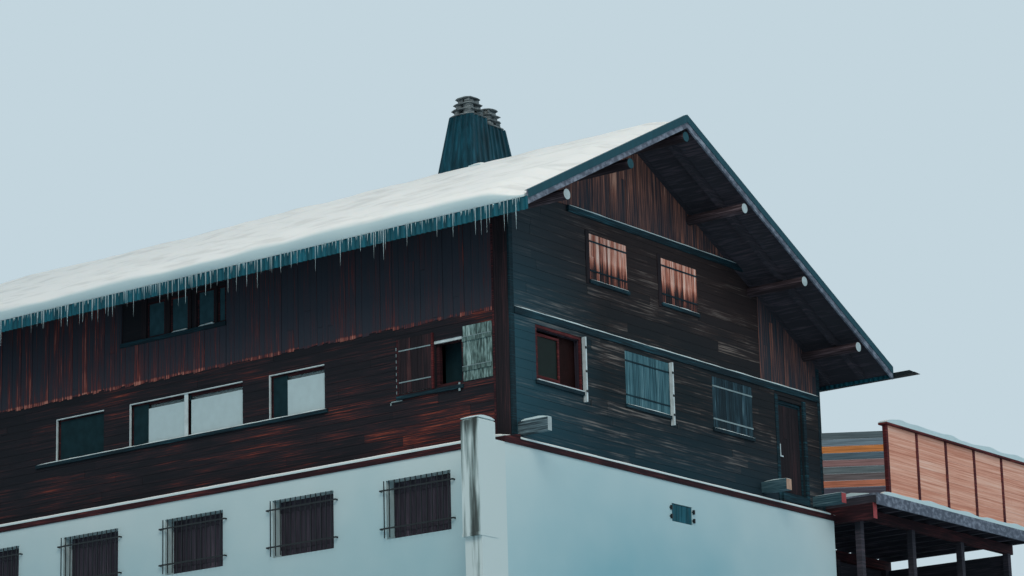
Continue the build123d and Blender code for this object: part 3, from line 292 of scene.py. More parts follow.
# Woods: their tones from dark to worn, and how the streaks run and gather
WOODS = {
    # Level larch planks of the side, burnt near black; the rust-red streaks and their glow towards the front
    # corner and the foot are painted highlights of the low sun on the plank edges
    "burnt_planks": dict(
        stops=((0.46, "burnt"), (0.60, "#242026"), (0.70, "#3B2427"), (0.80, "#6B302A"), (0.93, "painted_sunlit_russet")),
        glow=(("Y", 9.0, 1.5, 0.0, 0.05), ("Z", 4.3, 3.1, 0.0, 0.07)), streak=1.2, width=0.018,
    ),
    # Upright larch boards under the eave, blue-black lifted to blue-grey as painted haze, with rust-red
    # streaks; the glow paints shade darker up under the eave and a highlight along the ragged feet, and is
    # brighter towards the back
    "burnt_boards": dict(
        stops=((0.46, "#2E333D"), (0.62, "#36323B"), (0.72, "#482D32"), (0.83, "#7A3A35"), (0.96, "#C48474")),
        run="upright", streak=0.9, patch=0.35,
        glow=(("Y", 4.5, 10.0, 0.0, 0.10), ("Z", 6.6, 5.7, 0.0, 0.04), ("Z", 5.585, 5.55, 0.0, 0.17)),
    ),
    # Level larch planks of the gable, blue-black and brown with driftwood-grey streaks, teal at the corner
    # and low down; the blue-black and the teal are painted shade of a gable out of the sun
    "slate_planks": dict(
        stops=((0.40, "slate"), (0.53, "#192024"), (0.62, "#2F2828"), (0.70, "driftwood"), (0.84, "#8E8179")),
        wash=(
            ("X", 3.0, 0.1, 0.60, "#2C5866"), ("Z", 4.4, 2.9, 0.50, "#17404E"),
            ("Z", 5.2, 7.0, 0.50, "#33211F"), ("X", 5.5, 9.5, 0.25, "#2E2020"),
        ),
        streak=1.0, width=0.034, board=0.26,
    ),
    # Upright larch boards in the gable's peak, rust-brown and paler towards the top, black lower down; the
    # dark tones are lifted to blue-grey as painted haze in the shade
    "gable_boards": dict(
        stops=((0.42, "#2A323B"), (0.53, "#403439"), (0.64, "#5D4442"), (0.77, "#8F5C4E"), (0.90, "#CF9A86")),
        run="upright", glow=(("Z", 7.5, 8.8, 0.0, 0.12), ("X", 8.8, 8.2, 0.0, 0.04)),
        streak=1.2, width=0.032, patch=0.3,
    ),
    # Bare larch gone silver-grey in the rain
    "grey_larch": dict(
        stops=((0.35, "#2E3B42"), (0.50, "#566A72"), (0.66, "#7C9098"), (0.85, "#A9BCC2")),
        wash=(("X", 2.0, 8.0, 0.5, "#24505C"),),
    ),
    # Bare larch of the barge boards and the deck, silver-lilac
    "silver_larch": dict(
        stops=((0.35, "#555B68"), (0.50, "#757C8A"), (0.66, "#8C93A0"), (0.85, "#AEB4BE")),
        streak=0.14, width=0.10, patch=0.3,
    ),
    # Round larch logs under the roof, brown-grey
    "log": dict(
        stops=((0.35, "#2A2226"), (0.52, "#463A40"), (0.70, "#6E6066"), (0.90, "#9C9096")), streak=0.9,
    ),
    # Sheltered larch under the roof and the terrace, dark brown, its tones lifted as painted haze in the
    # shade there
    "dark_larch": dict(stops=((0.38, "#323138"), (0.56, "#47414A"), (0.74, "#5E4E53"), (0.92, "#7E6E72"))),
    # Red-brown stained trim boards, worn to the wood at the edges
    "stained": dict(stops=((0.36, "#26141A"), (0.54, "#452226"), (0.70, "#6B3330"), (0.88, "#99594B"))),
    # Old red-brown stain on posts and frames
    "red_stain": dict(stops=((0.36, "#431B1F"), (0.54, "#672A2B"), (0.70, "#8C453A"), (0.88, "#B5715C"))),
    # Trim boards under old teal stain
    "teal_trim": dict(stops=((0.36, "#0F2129"), (0.54, "#17353F"), (0.70, "#275460"), (0.90, "#6FA0A9"))),
    # Narrow larch shutter boards, orange-pink with painted sunlight above, black below
    "sunlit_shutter": dict(
        stops=((0.40, "#1C1B20"), (0.56, "#3C2C2D"), (0.68, "#9C5746"), (0.80, "#DB927C"), (0.96, "#F6DCCF")),
        run="upright", glow=(("Z", 6.72, 7.02, 0.0, 0.27),), streak=0.8, width=0.016, patch=0.15, board=0.22,
    ),
    # Grey-green oil paint on shutter boards, worn to grey wood
    "pale_shutter": dict(
        stops=((0.34, "#3B4D4C"), (0.48, "#5E7673"), (0.62, "shutter"), (0.84, "#B8CBC6")),
        run="upright", streak=0.2, width=0.040, board=0.1,
    ),
    # Blue-teal washed shutter boards of the gable
    "teal_shutter": dict(
        stops=((0.36, "#2A4A54"), (0.50, "#3C646F"), (0.64, "#567D87"), (0.84, "#8FAEB4")),
        run="upright", streak=0.8, width=0.020, patch=0.3, board=0.12,
    ),
    # Shutter boards gone as dark as the wall
    "dark_shutter": dict(
        stops=((0.42, "#15262E"), (0.58, "#223A44"), (0.74, "#3E5A66"), (0.90, "#6C8A92")),
        run="upright", streak=0.5, width=0.030,
    ),
    # Plum-brown stain on door and leaf boards
    "plum_boards": dict(
        stops=((0.38, "#1C181D"), (0.56, "#2A2126"), (0.72, "#40282B"), (0.90, "#66433F")),
        run="upright", streak=0.8,
    ),
    # Plum stain on the boards of the base shutters, satin and even
    "brown_shutter": dict(
        stops=((0.36, "#2C2730"), (0.55, "#3A343F"), (0.75, "#4E4550"), (0.92, "#6A5E69")),
        run="upright", streak=0.8, roughness=0.6,
    ),
    # Freshly oiled larch, orange-pink with soft figure
    "new_larch": dict(
        stops=((0.34, "#D08A72"), (0.50, "larch"), (0.66, "#EDB49D"), (0.84, "#F4C9B7")),
        streak=1.6, width=0.030, patch=0.25, board=0.20, roughness=0.7,
    ),
}


# The fence's planks from the lowest up
FENCE_TONES = (
    "#4A4853", "#A4644E", "#5A5253", "#565F62", "#7D5F5E", "#4A5A64", "#B4703F", "#66757F", "#525E63",
)


def mixed_planks():
    """Reused planks of the fence, each from another job: grey, blue-grey, rust and orange."""
    made, tree = new_material("mixed_planks", {"Roughness": 0.85, "Specular IOR Level": 0.25})
    low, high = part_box("plank_fence")
    place = add(tree, "ShaderNodeTexCoord").outputs["Object"]
    height = add(tree, "ShaderNodeSeparateXYZ", {0: place}).outputs["Z"]
    share = add(tree, "ShaderNodeMapRange", {
        "Value": height, "From Min": low.z - 0.004, "From Max": high.z + 0.004,
    })
    colour = add(tree, "ShaderNodeValToRGB", {"Fac": share.outputs[0]}, stops=[
        (number / len(FENCE_TONES), tone) for number, tone in enumerate(FENCE_TONES)
    ])
    colour.color_ramp.interpolation = "CONSTANT"
    worn = add(tree, "ShaderNodeMapRange", {
        "Value": streaks(tree, place, (1.6, 1.6, 40), 4.0),
        "From Min": 0.3, "From Max": 0.7, "To Min": 0.85, "To Max": 1.75,
    })
    mixed = add(tree, "ShaderNodeVectorMath", {
        0: colour.outputs["Color"], 1: worn.outputs[0],
    }, operation="MULTIPLY")
    return dressed(made, mixed.outputs[0])


def lime_render():
    """Lime render, floated by hand: softly uneven, paler under the ledge, blue-green with moisture low down,
    and paler from x = 5.5 to 10.5 as painted light.
    """
    made, tree = new_material("lime_render", {"Roughness": 0.92, "Specular IOR Level": 0.2})
    place = add(tree, "ShaderNodeTexCoord").outputs["Object"]
    clouds = add(tree, "ShaderNodeTexNoise", {"Vector": place, "Scale": 0.5, "Detail": 3.0}).outputs["Fac"]
    damp_and_painted_light = add(tree, "ShaderNodeMath", {0: clouds, 1: 0.5, 2: 0.25}, operation="MULTIPLY_ADD").outputs[0]
    # The last span is painted light: the render turns paler from x = 5.5 to 10.5, where more light falls
    damp_and_painted_light = by_place(tree, place, damp_and_painted_light, (
        ("Z", 2.9, 0.4, -0.30, 0.12), ("X", -0.4, 2.5, 0.10, 0.35), ("X", 5.5, 10.5, 0.0, -0.28),
    ))
    colour = add(tree, "ShaderNodeValToRGB", {"Fac": damp_and_painted_light}, stops=[(0.20, "render"), (1.0, "stain")])
    marks = add(tree, "ShaderNodeTexNoise", {"Vector": place, "Scale": 14.0, "Detail": 4.0}).outputs["Fac"]
    return dressed(made, colour.outputs["Color"], (marks, 0.2, 0.005))


def stained_render():
    """The pier's render, with soot and rust running down its outer face near the front edge."""
    made, tree = new_material("stained_render", {"Roughness": 0.92, "Specular IOR Level": 0.2})
    place = add(tree, "ShaderNodeTexCoord").outputs["Object"]
    soot = by_place(tree, place, streaks(tree, place, (9, 9, 0.8), 5.0), (
        ("X", -1.22, -1.30, 0.0, 0.22), ("Y", 0.16, -0.02, 0.0, 0.16), ("Y", -0.06, -0.15, 0.0, -0.20),
        ("Z", 2.75, 3.05, 0.0, 0.12),
    ))
    colour = add(tree, "ShaderNodeValToRGB", {"Fac": soot}, stops=[
        (0.66, shade_of(colours().render, 0.95)), (0.80, "#8C9C9C"), (0.90, "#56605F"), (1.0, "#3A403F"),
    ])
    return dressed(made, colour.outputs["Color"])


def settled_snow(name, stretch, shade):
    """Settled snow: matt white, with painted grey shadows of the ripples the wind has drawn out, and painted
    blue-grey shade on steep faces.
    """
    made, tree = new_material(name, {
        "Roughness": 0.8, "Subsurface Weight": 0.1, "Subsurface Radius": (0.04, 0.05, 0.06),
        "Subsurface Scale": 0.5,
    })
    place = add(tree, "ShaderNodeTexCoord").outputs["Object"]
    grain = add(tree, "ShaderNodeTexNoise", {"Vector": place, "Scale": 22.0, "Detail": 4.0}).outputs["Fac"]
    # Painted ripple shadows: the snow turns grey where the drawn-out noise is low
    rippled = add(tree, "ShaderNodeValToRGB", {"Fac": streaks(tree, place, stretch, 3.0)}, stops=[
        (0.34, shade_of(colours().snow, shade)), (0.50, "snow"),
    ])
    # Painted shade: faces steeper than the slope turn blue-grey
    facing = add(tree, "ShaderNodeNewGeometry").outputs["Normal"]
    steep = by_place(tree, facing, 0.0, (("Z", 0.60, 0.0, 0.0, 1.0),))
    colour = add(tree, "ShaderNodeMix", {
        "Factor": steep, COLOUR_A: rippled.outputs["Color"], COLOUR_B: (*linear("#C6D8DB"), 1),
    }, data_type="RGBA").outputs[COLOUR_OUT]
    return dressed(made, colour, (grain, 0.3, 0.010))


def enamelled_sheet(name, tone, lift, streak):
    """Stove-enamelled steel sheet: even colour, chalked in runs down the slope."""
    made, tree = new_material(name, {"Roughness": 0.5, "Specular IOR Level": 0.12})
    place = add(tree, "ShaderNodeTexCoord").outputs["Object"]
    sheet = shade_of(tone_of(tone), lift)
    colour = add(tree, "ShaderNodeValToRGB", {"Fac": streaks(tree, place, (7, 7, 0.8), 5.0, 0.65)}, stops=[
        (0.32, shade_of(sheet, 1 - streak * 1.6)), (0.55, sheet), (0.78, shade_of(sheet, 1 + streak * 3)),
    ])
    return dressed(made, colour.outputs["Color"])


def split_stone():
    """Split stone plates, grey with a rusty bloom."""
    made, tree = new_material("split_stone", {"Roughness": 0.9})
    place = add(tree, "ShaderNodeTexCoord").outputs["Object"]
    bloom = streaks(tree, place, (4.5, 4.5, 45), 6.0, 0.7)
    colour = add(tree, "ShaderNodeValToRGB", {"Fac": bloom}, stops=[
        (0.35, "#2B3438"), (0.50, "#5C666A"), (0.64, "#8D9698"), (0.80, "#B9C2C4"),
    ])
    return dressed(made, colour.outputs["Color"], (bloom, 0.6, 0.01))


def plain(name, hex_colour, roughness, specular=0.3, wear=0.15):
    """A finish that is even all over, but for a little wear."""
    made, tree = new_material(name, {"Roughness": roughness, "Specular IOR Level": specular})
    place = add(tree, "ShaderNodeTexCoord").outputs["Object"]
    rubbed = add(tree, "ShaderNodeTexNoise", {"Vector": place, "Scale": 6.0, "Detail": 5.0}).outputs["Fac"]
    tone = linear(hex_colour)
    colour = add(tree, "ShaderNodeValToRGB", {"Fac": rubbed}, stops=[
        (0.35, shade_of(tone, 1 - wear)), (0.65, shade_of(tone, 1 + wear)),
    ])
    return dressed(made, colour.outputs["Color"])


def see_through(name, hex_colour, shine):
    """A clear finish, with the values of its shader."""
    return new_material(name, {"Base Color": (*linear(hex_colour), 1), **shine})[0]


# Finishes that aren't old wood: the function that makes each, and what it is given
MATERIALS = {
    "mixed_planks": (mixed_planks,),
    "render": (lime_render,),
    "stained_render": (stained_render,),
    "stone": (split_stone,),
    # Snow of the roof, with painted ripple shadows drawn out down the slope, and snow on ledges and beams
    "roof_snow": (settled_snow, "roof_snow", (4.5, 0.9, 4.5), 0.86),
    "snow": (settled_snow, "settled_snow", (1.4, 1.4, 1.4), 0.92),
    # Sheet of the roof and its edges, of the bands along the eaves, and of the chimney
    "enamel": (enamelled_sheet, "enamelled_sheet", "enamel", 1.0, 0.08),
    # The eave bands take a 1.6 times paler copy of the roof edges' enamel: painted light
    "eave_band": (enamelled_sheet, "eave_band_sheet", "enamel", 1.6, 0.3),
    "casing": (enamelled_sheet, "chimney_sheet", "casing", 1.0, 0.4),
    # White paint gone chalky on wooden frames
    "white_paint": (plain, "chalky_white_paint", "#C4D0D3", 0.6),
    # Wrought bars under old black paint
    "iron": (plain, "painted_iron", "#131A1E", 0.55, 0.4),
    # Galvanised straps and hooks, dull pale grey
    "pale_iron": (plain, "galvanised_straps", "#7F9296", 0.6, 0.4),
    # Cast concrete, bare
    "concrete": (plain, "cast_concrete", "#8A8C8A", 0.9),
    # Sawn ends of logs and beams, bleached pale
    "end_grain": (plain, "sawn_end_grain", "#A9B6B9", 0.85),
    # Fresh sawn larch, pale orange
    "fresh_end": (plain, "fresh_sawn_larch", "#B79480", 0.85),
    # Sawn ends brushed with red preservative
    "red_end": (plain, "red_preservative", "#A0474A", 0.8),
    # Sawn ends of logs in the shade of the roof, dark teal as painted shade
    "teal_end": (plain, "shaded_log_end", "#1C4650", 0.85),
    # Folded sheet, dark grey
    "gutter": (plain, "dark_gutter_sheet", "#1A2226", 0.45, 0.5),
    # Panes that mirror the pale sky
    "sky_pane": (plain, "sky_on_glass", "#B6C9CD", 0.35, 0.2, 0.03),
    # Heavy curtains behind the panes, and dark sheets that paint the shade of unlit rooms
    "curtain": (plain, "dark_curtain", "#172E34", 0.95, 0.1),
    # Dim sky on the loft's panes: a painted reflection, darkened as painted shade under the eave
    "loft_pane": (plain, "loft_window_glass", "#2C4A53", 0.8, 0.1),
    # Green-black painted shade of the room seen through an inner pane
    "green_pane": (plain, "green_dark_pane", "#0B1916", 0.5, 0.1),
    # Plum-brown gloss paint on the inner leaf
    "plum": (plain, "plum_brown_paint", "#200D0D", 0.8, 0.1),
    # Icicle ice with cloudy cores, so half of it lets light through
    "ice": (
        see_through, "clear_ice", "#C9DDE2", {"Roughness": 0.12, "IOR": 1.31, "Transmission Weight": 0.55},
    ),
    # Window glass before a dark room, with the sky on its face
    "glass": (see_through, "window_glass", "#A9C0C4", {"Roughness": 0.04, "IOR": 1.5, "Alpha": 0.22}),
}
_made = {}


def material(key):
    """The finish of that name, made the first time it is asked for."""
    if key not in _made:
        if key in WOODS:
            _made[key] = old_wood(key, **WOODS[key])
        else:
            maker, *values = MATERIALS[key]
            _made[key] = maker(*values)
    return _made[key]


# Meshes
def link(name, mesh):
    made = bpy.data.objects.new(name, mesh)
    bpy.context.scene.collection.objects.link(made)
    return made


def mesh_of(name, points, faces):
    made = bpy.data.meshes.new(name)
    made.from_pydata(points, [], faces)
    made.validate()
    made.update()
    return made


def settle(piece):
    """Fixes a finished piece to the house."""
    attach(piece, "root")
    return piece


def coated(piece, key):
    piece.data.materials.clear()
    piece.data.materials.append(material(key))
    return piece


def boxes(name, key, places):
    """One piece of many boxes, each between a low and a high corner."""
    points, faces = [], []
    for low, high in places:
        first = len(points)
        points += [(x, y, z) for x in (low[0], high[0]) for y in (low[1], high[1]) for z in (low[2], high[2])]
        sides = ((0, 1, 3, 2), (4, 6, 7, 5), (0, 4, 5, 1), (2, 3, 7, 6), (0, 2, 6, 4), (1, 5, 7, 3))
        faces += [[first + corner for corner in side] for side in sides]
    return settle(coated(link(name, mesh_of(name, points, faces)), key))


def swept(name, rings):
    """A closed mesh through a row of closed outlines with as many points each."""
    count = len(rings[0])
    points = [point for ring in rings for point in ring]
    faces = []
    for number in range(len(rings) - 1):
        here, there = number * count, (number + 1) * count
        for place in range(count):
            after = (place + 1) % count
            faces.append((here + place, here + after, there + after, there + place))
    last = (len(rings) - 1) * count
    faces.append(tuple(reversed(range(count))))
    faces.append(tuple(range(last, last + count)))
    made = mesh_of(name, points, faces)
    outward(made)
    return made


def outward(mesh):
    """Turns every face of closed shells outwards."""
    work = bmesh.new()
    work.from_mesh(mesh)
    bmesh.ops.recalc_face_normals(work, faces=work.faces)
    work.to_mesh(mesh)
    work.free()

def smooth(piece, angle=50):
    """Shades a piece smooth, apart from its sharp edges."""
    for face in piece.data.polygons:
        face.use_smooth = True
    piece.data.set_sharp_from_angle(angle=math.radians(angle))
    return piece


def joined(name, meshes, key, angle=None):
    """One finished piece of several meshes, shaded smooth up to an angle if one is given."""
    points, faces = [], []
    for mesh in meshes:
        first = len(points)
        points += [vertex.co.copy() for vertex in mesh.vertices]
        faces += [[first + corner for corner in face.vertices] for face in mesh.polygons]
    piece = settle(coated(link(name, mesh_of(name, points, faces)), key))
    return smooth(piece, angle) if angle else piece


# Node trees that make what repeats
def new_tree(name, inputs):
    """A geometry tree with named inputs, its input node and its output node."""
    tree = bpy.data.node_groups.new(name, "GeometryNodeTree")
    tree.interface.new_socket("Geometry", in_out="INPUT", socket_type="NodeSocketGeometry")
    for label, kind, value in inputs:
        socket = tree.interface.new_socket(label, in_out="INPUT", socket_type=kind)
        if value is not None:
            socket.default_value = value
    tree.interface.new_socket("Geometry", in_out="OUTPUT", socket_type="NodeSocketGeometry")
    return tree, add(tree, "NodeGroupInput").outputs


def finish_tree(tree, geometry, inputs):
    """Ends a tree in real geometry with its finish."""
    real = add(tree, "GeometryNodeRealizeInstances", {"Geometry": geometry}).outputs["Geometry"]
    coat = add(tree, "GeometryNodeSetMaterial", {"Geometry": real, "Material": inputs["Material"]})
    out = add(tree, "NodeGroupOutput")
    tree.links.new(coat.outputs["Geometry"], out.inputs["Geometry"])
    return tree


def boards_tree():
    """Raises flat outlines into boards, each as thick as chance has it and with a tone of its own."""
    tree, inputs = new_tree("boards", [
        ("Thickness", "NodeSocketFloat", 0.02), ("Unevenness", "NodeSocketFloat", 0.006),
        ("Seed", "NodeSocketInt", 0), ("Material", "NodeSocketMaterial", None),
    ])
    island = add(tree, "GeometryNodeInputMeshIsland").outputs["Island Index"]
    chance = add(tree, "FunctionNodeRandomValue", {
        RANDOM_LOW: 0.0, RANDOM_HIGH: 1.0, "ID": island, "Seed": inputs["Seed"],
    }, data_type="FLOAT").outputs[RANDOM_OUT]
    named = add(tree, "GeometryNodeStoreNamedAttribute", {
        "Geometry": inputs["Geometry"], "Name": "shade", "Value": chance,
    }, data_type="FLOAT", domain="POINT").outputs["Geometry"]
    proud = add(tree, "ShaderNodeMath", {
        0: chance, 1: inputs["Unevenness"], 2: inputs["Thickness"],
    }, operation="MULTIPLY_ADD").outputs[0]
    raised = add(tree, "GeometryNodeExtrudeMesh", {"Mesh": named, "Offset Scale": proud, "Individual": False})
    back = add(tree, "GeometryNodeFlipFaces", {"Mesh": named}).outputs["Mesh"]
    both = add(tree, "GeometryNodeJoinGeometry")
    tree.links.new(raised.outputs["Mesh"], both.inputs["Geometry"])
    tree.links.new(back, both.inputs["Geometry"])
    closed = add(tree, "GeometryNodeMergeByDistance", {
        "Geometry": both.outputs["Geometry"], "Distance": 0.0001,
    })
    return finish_tree(tree, closed.outputs["Geometry"], inputs)


# Icicles: how far one slides along the edge in pitches, how long it is, how thick, and whether it is there
ICICLE_CHANCES = ((-0.5, 0.5), (0.0, 1.0), (0.7, 1.4), (0.0, 1.0))
ICICLE_POWER = 3.2
ICICLE_SHORTEST = 0.15
ICICLE_GAPS = 0.12


def icicles_tree():
    """Hangs slender cones along an edge, most of them short and a few long."""
    tree, inputs = new_tree("icicles", [
        ("Pitch", "NodeSocketFloat", 0.08), ("Length", "NodeSocketFloat", 0.5),
        ("Root", "NodeSocketFloat", 0.012), ("Seed", "NodeSocketInt", 0),
        ("Material", "NodeSocketMaterial", None),
    ])
    index = add(tree, "GeometryNodeInputIndex").outputs["Index"]
    draws = []
    for step, (low, high) in enumerate(ICICLE_CHANCES):
        seed = add(tree, "ShaderNodeMath", {0: inputs["Seed"], 1: float(step)}, operation="ADD").outputs[0]
        draws.append(add(tree, "FunctionNodeRandomValue", {
            RANDOM_LOW: low, RANDOM_HIGH: high, "ID": index, "Seed": seed,
        }, data_type="FLOAT").outputs[RANDOM_OUT])
    shift, chance, girth, keep = draws
    curve = add(tree, "GeometryNodeMeshToCurve", {"Mesh": inputs["Geometry"]}).outputs["Curve"]
    row = add(tree, "GeometryNodeResampleCurve", {"Curve": curve, "Length": inputs["Pitch"]}, mode="LENGTH")
    slide = add(tree, "ShaderNodeMath", {0: shift, 1: inputs["Pitch"]}, operation="MULTIPLY").outputs[0]
    offset = add(tree, "ShaderNodeCombineXYZ", {"Y": slide}).outputs[0]
    placed = add(tree, "GeometryNodeSetPosition", {"Geometry": row.outputs["Curve"], "Offset": offset})
    rare = add(tree, "ShaderNodeMath", {0: chance, 1: ICICLE_POWER}, operation="POWER").outputs[0]
    share = add(tree, "ShaderNodeMath", {
        0: rare, 1: 1 - ICICLE_SHORTEST, 2: ICICLE_SHORTEST,
    }, operation="MULTIPLY_ADD").outputs[0]
    long = add(tree, "ShaderNodeMath", {0: share, 1: inputs["Length"]}, operation="MULTIPLY").outputs[0]
    wide = add(tree, "ShaderNodeMath", {0: girth, 1: inputs["Root"]}, operation="MULTIPLY").outputs[0]
    scale = add(tree, "ShaderNodeCombineXYZ", {"X": wide, "Y": wide, "Z": long}).outputs[0]
    cone = add(tree, "GeometryNodeMeshCone", {
        "Vertices": 7, "Side Segments": 4, "Radius Top": 0.12, "Radius Bottom": 1.0, "Depth": 1.0,
    })
    chosen = add(tree, "FunctionNodeCompare", {
        "A": keep, "B": ICICLE_GAPS,
    }, data_type="FLOAT", operation="GREATER_THAN")
    hung = add(tree, "GeometryNodeInstanceOnPoints", {
        "Points": placed.outputs["Geometry"], "Instance": cone.outputs["Mesh"], "Scale": scale,
        "Rotation": (math.pi, 0, 0), "Selection": chosen.outputs[0],
    })
    return finish_tree(tree, hung.outputs["Instances"], inputs)


_trees = {}


def grown(name, mesh, maker, key, slot=None, **inputs):
    """Runs a node tree on a mesh and keeps the plain mesh that comes out."""
    if maker not in _trees:
        _trees[maker] = maker()
    tree = _trees[maker]
    piece = link(name, mesh)
    modifier = piece.modifiers.new(name, "NODES")
    modifier.node_group = tree
    inputs["Material"] = material(key)
    for item in tree.interface.items_tree:
        if item.in_out == "INPUT" and item.name in inputs:
            modifier[item.identifier] = inputs[item.name]
    seen = piece.evaluated_get(bpy.context.evaluated_depsgraph_get())
    made = bpy.data.meshes.new_from_object(seen)
    piece.modifiers.clear()
    piece.data = made
    return settle(piece)


# Boards laid over a wall
class Wall:
    """An upright plane with its own along direction and outward side."""

    def __init__(self, start, along, out):
        self.start = Vector(start)
        self.along = Vector(along)
        self.out = Vector(out)
        self.turned = self.along.cross(UP).dot(self.out) < 0

    def point(self, along, height, proud=0.0):
        return self.start + self.along * along + UP * height + self.out * proud

    def box(self, along, heights, proud):
        """Low and high corner of a box on the wall."""
        ends = [self.point(along[0], heights[0], proud[0]), self.point(along[1], heights[1], proud[1])]
        return [min(a, b) for a, b in zip(*ends)], [max(a, b) for a, b in zip(*ends)]


LEFT = Wall((0, 0, SILL), (0, 1, 0), (-1, 0, 0))
RIGHT = Wall((HOUSE_WIDTH, 0, SILL), (0, 1, 0), (1, 0, 0))
FRONT = Wall((0, 0, SILL), (1, 0, 0), (0, -1, 0))
BACK = Wall((0, HOUSE_LENGTH, SILL), (1, 0, 0), (0, 1, 0))
BASE_SIDE = Wall((BASE_LOW.x, 0, SILL), (0, 1, 0), (-1, 0, 0))
BASE_RIGHT_SIDE = Wall((BASE_HIGH.x, 0, SILL), (0, 1, 0), (1, 0, 0))

# The narrowest board worth keeping, and a length past that of any upright board
SMALLEST_BOARD = 0.012
WHOLE = 9.0
BOARD_GAP = 0.0025
# Least and most shares of the mean width and length, and the share of a width too small for a last row
WIDTH_SHARES = (0.75, 1.25)
LENGTH_SHARES = (0.6, 1.3)
LAST_ROW = 0.3


def without(board, hole):
    """What is left of a rectangle round a hole, as up to four rectangles."""
    (u0, v0, u1, v1), (a0, b0, a1, b1) = board, hole
    if a0 >= u1 or a1 <= u0 or b0 >= v1 or b1 <= v0:
        return [board]
    parts = [
        (u0, v0, a0, v1), (a1, v0, u1, v1),
        (max(u0, a0), v0, min(u1, a1), b0), (max(u0, a0), b1, min(u1, a1), v1),
    ]
    return [part for part in parts if min(part[2] - part[0], part[3] - part[1]) > SMALLEST_BOARD]


def courses(area, holes, width, length, draw, upright=False, gap=BOARD_GAP):
    """Boards over an area, in rows of uneven width, butted at uneven places, with the holes left open."""
    u0, v0, u1, v1 = area
    if upright:
        u0, v0, u1, v1 = v0, u0, v1, u1
    boards = []
    row = v0
    while row < v1 - SMALLEST_BOARD:
        top = min(row + width * draw.uniform(*WIDTH_SHARES), v1)
        if v1 - top < width * LAST_ROW:
            top = v1
        start = u0 - draw.uniform(0, length)
        while start < u1:
            end = start + length * draw.uniform(*LENGTH_SHARES)
            board = (max(start, u0) + gap, row + gap, min(end, u1) - gap, top - gap)
            if board[2] - board[0] > SMALLEST_BOARD:
                boards.append((board[1], board[0], board[3], board[2]) if upright else board)
            start = end
        row = top
    for hole in holes:
        boards = [part for board in boards for part in without(board, hole)]
    return boards


def upright_boards(area, width, draw, gap=BOARD_GAP, holes=()):
    """Boards that run through the whole height of an area."""
    return courses(area, holes, width, WHOLE, draw, upright=True, gap=gap)


def clipped(outline, side):
    """The part of an outline where a straight line's side isn't negative."""
    kept = []
    for number, there in enumerate(outline):
        here = outline[number - 1]
        before, after = side(*here), side(*there)
        if (before < 0) != (after < 0):
            share = before / (before - after)
            kept.append(tuple(a + (b - a) * share for a, b in zip(here, there)))
        if after >= 0:
            kept.append(there)
    return kept


def outlines(boards):
    return [[(u0, v0), (u1, v0), (u1, v1), (u0, v1)] for u0, v0, u1, v1 in boards]


def lay(name, wall, shapes, key, slot="old_larch", thick=None, uneven=0.006, proud=0.0):
    """Boards from outlines drawn on a wall."""
    points, faces = [], []
    for shape in shapes:
        corners = list(reversed(shape)) if wall.turned else shape
        faces.append(list(range(len(points), len(points) + len(corners))))
        points += [wall.point(along, height, proud) for along, height in corners]
    flat = mesh_of(name, points, faces)
    return grown(name, flat, boards_tree, key, slot,
                 Thickness=thick or sizes().board_thick, Unevenness=uneven, Seed=sizes().seed)


def draw_for(name):
    """A random source of its own for each piece, the same at every run."""
    return random.Random(f"{sizes().seed} {name}")


def roof_top(x, drop=0.0):
    """Height of the roof's reference line over the ground, less a drop."""
    return RIDGE_TOP - ROOF_FALL * abs(x - RIDGE_X) - drop


def opening(span, heights, margin=0.0):
    return (span[0] - margin, heights[0] - margin, span[1] + margin, heights[1] + margin)


# Trim of the walls: widths along the wall, and heights over the sill or the storey
CORNER_SIDE = 0.40
CORNER_GABLE = 0.09
STRIP_WIDTH = 0.045
LEDGE_TOP = 0.028
GABLE_LEDGE_TOP = -0.037
BELT_TOP = -0.040
BELT_DEPTH = 0.130
BELT_UPPER = 4.980
DOOR_TRIM = (0.11, 0.09)
BOARDED_FROM = 8.80


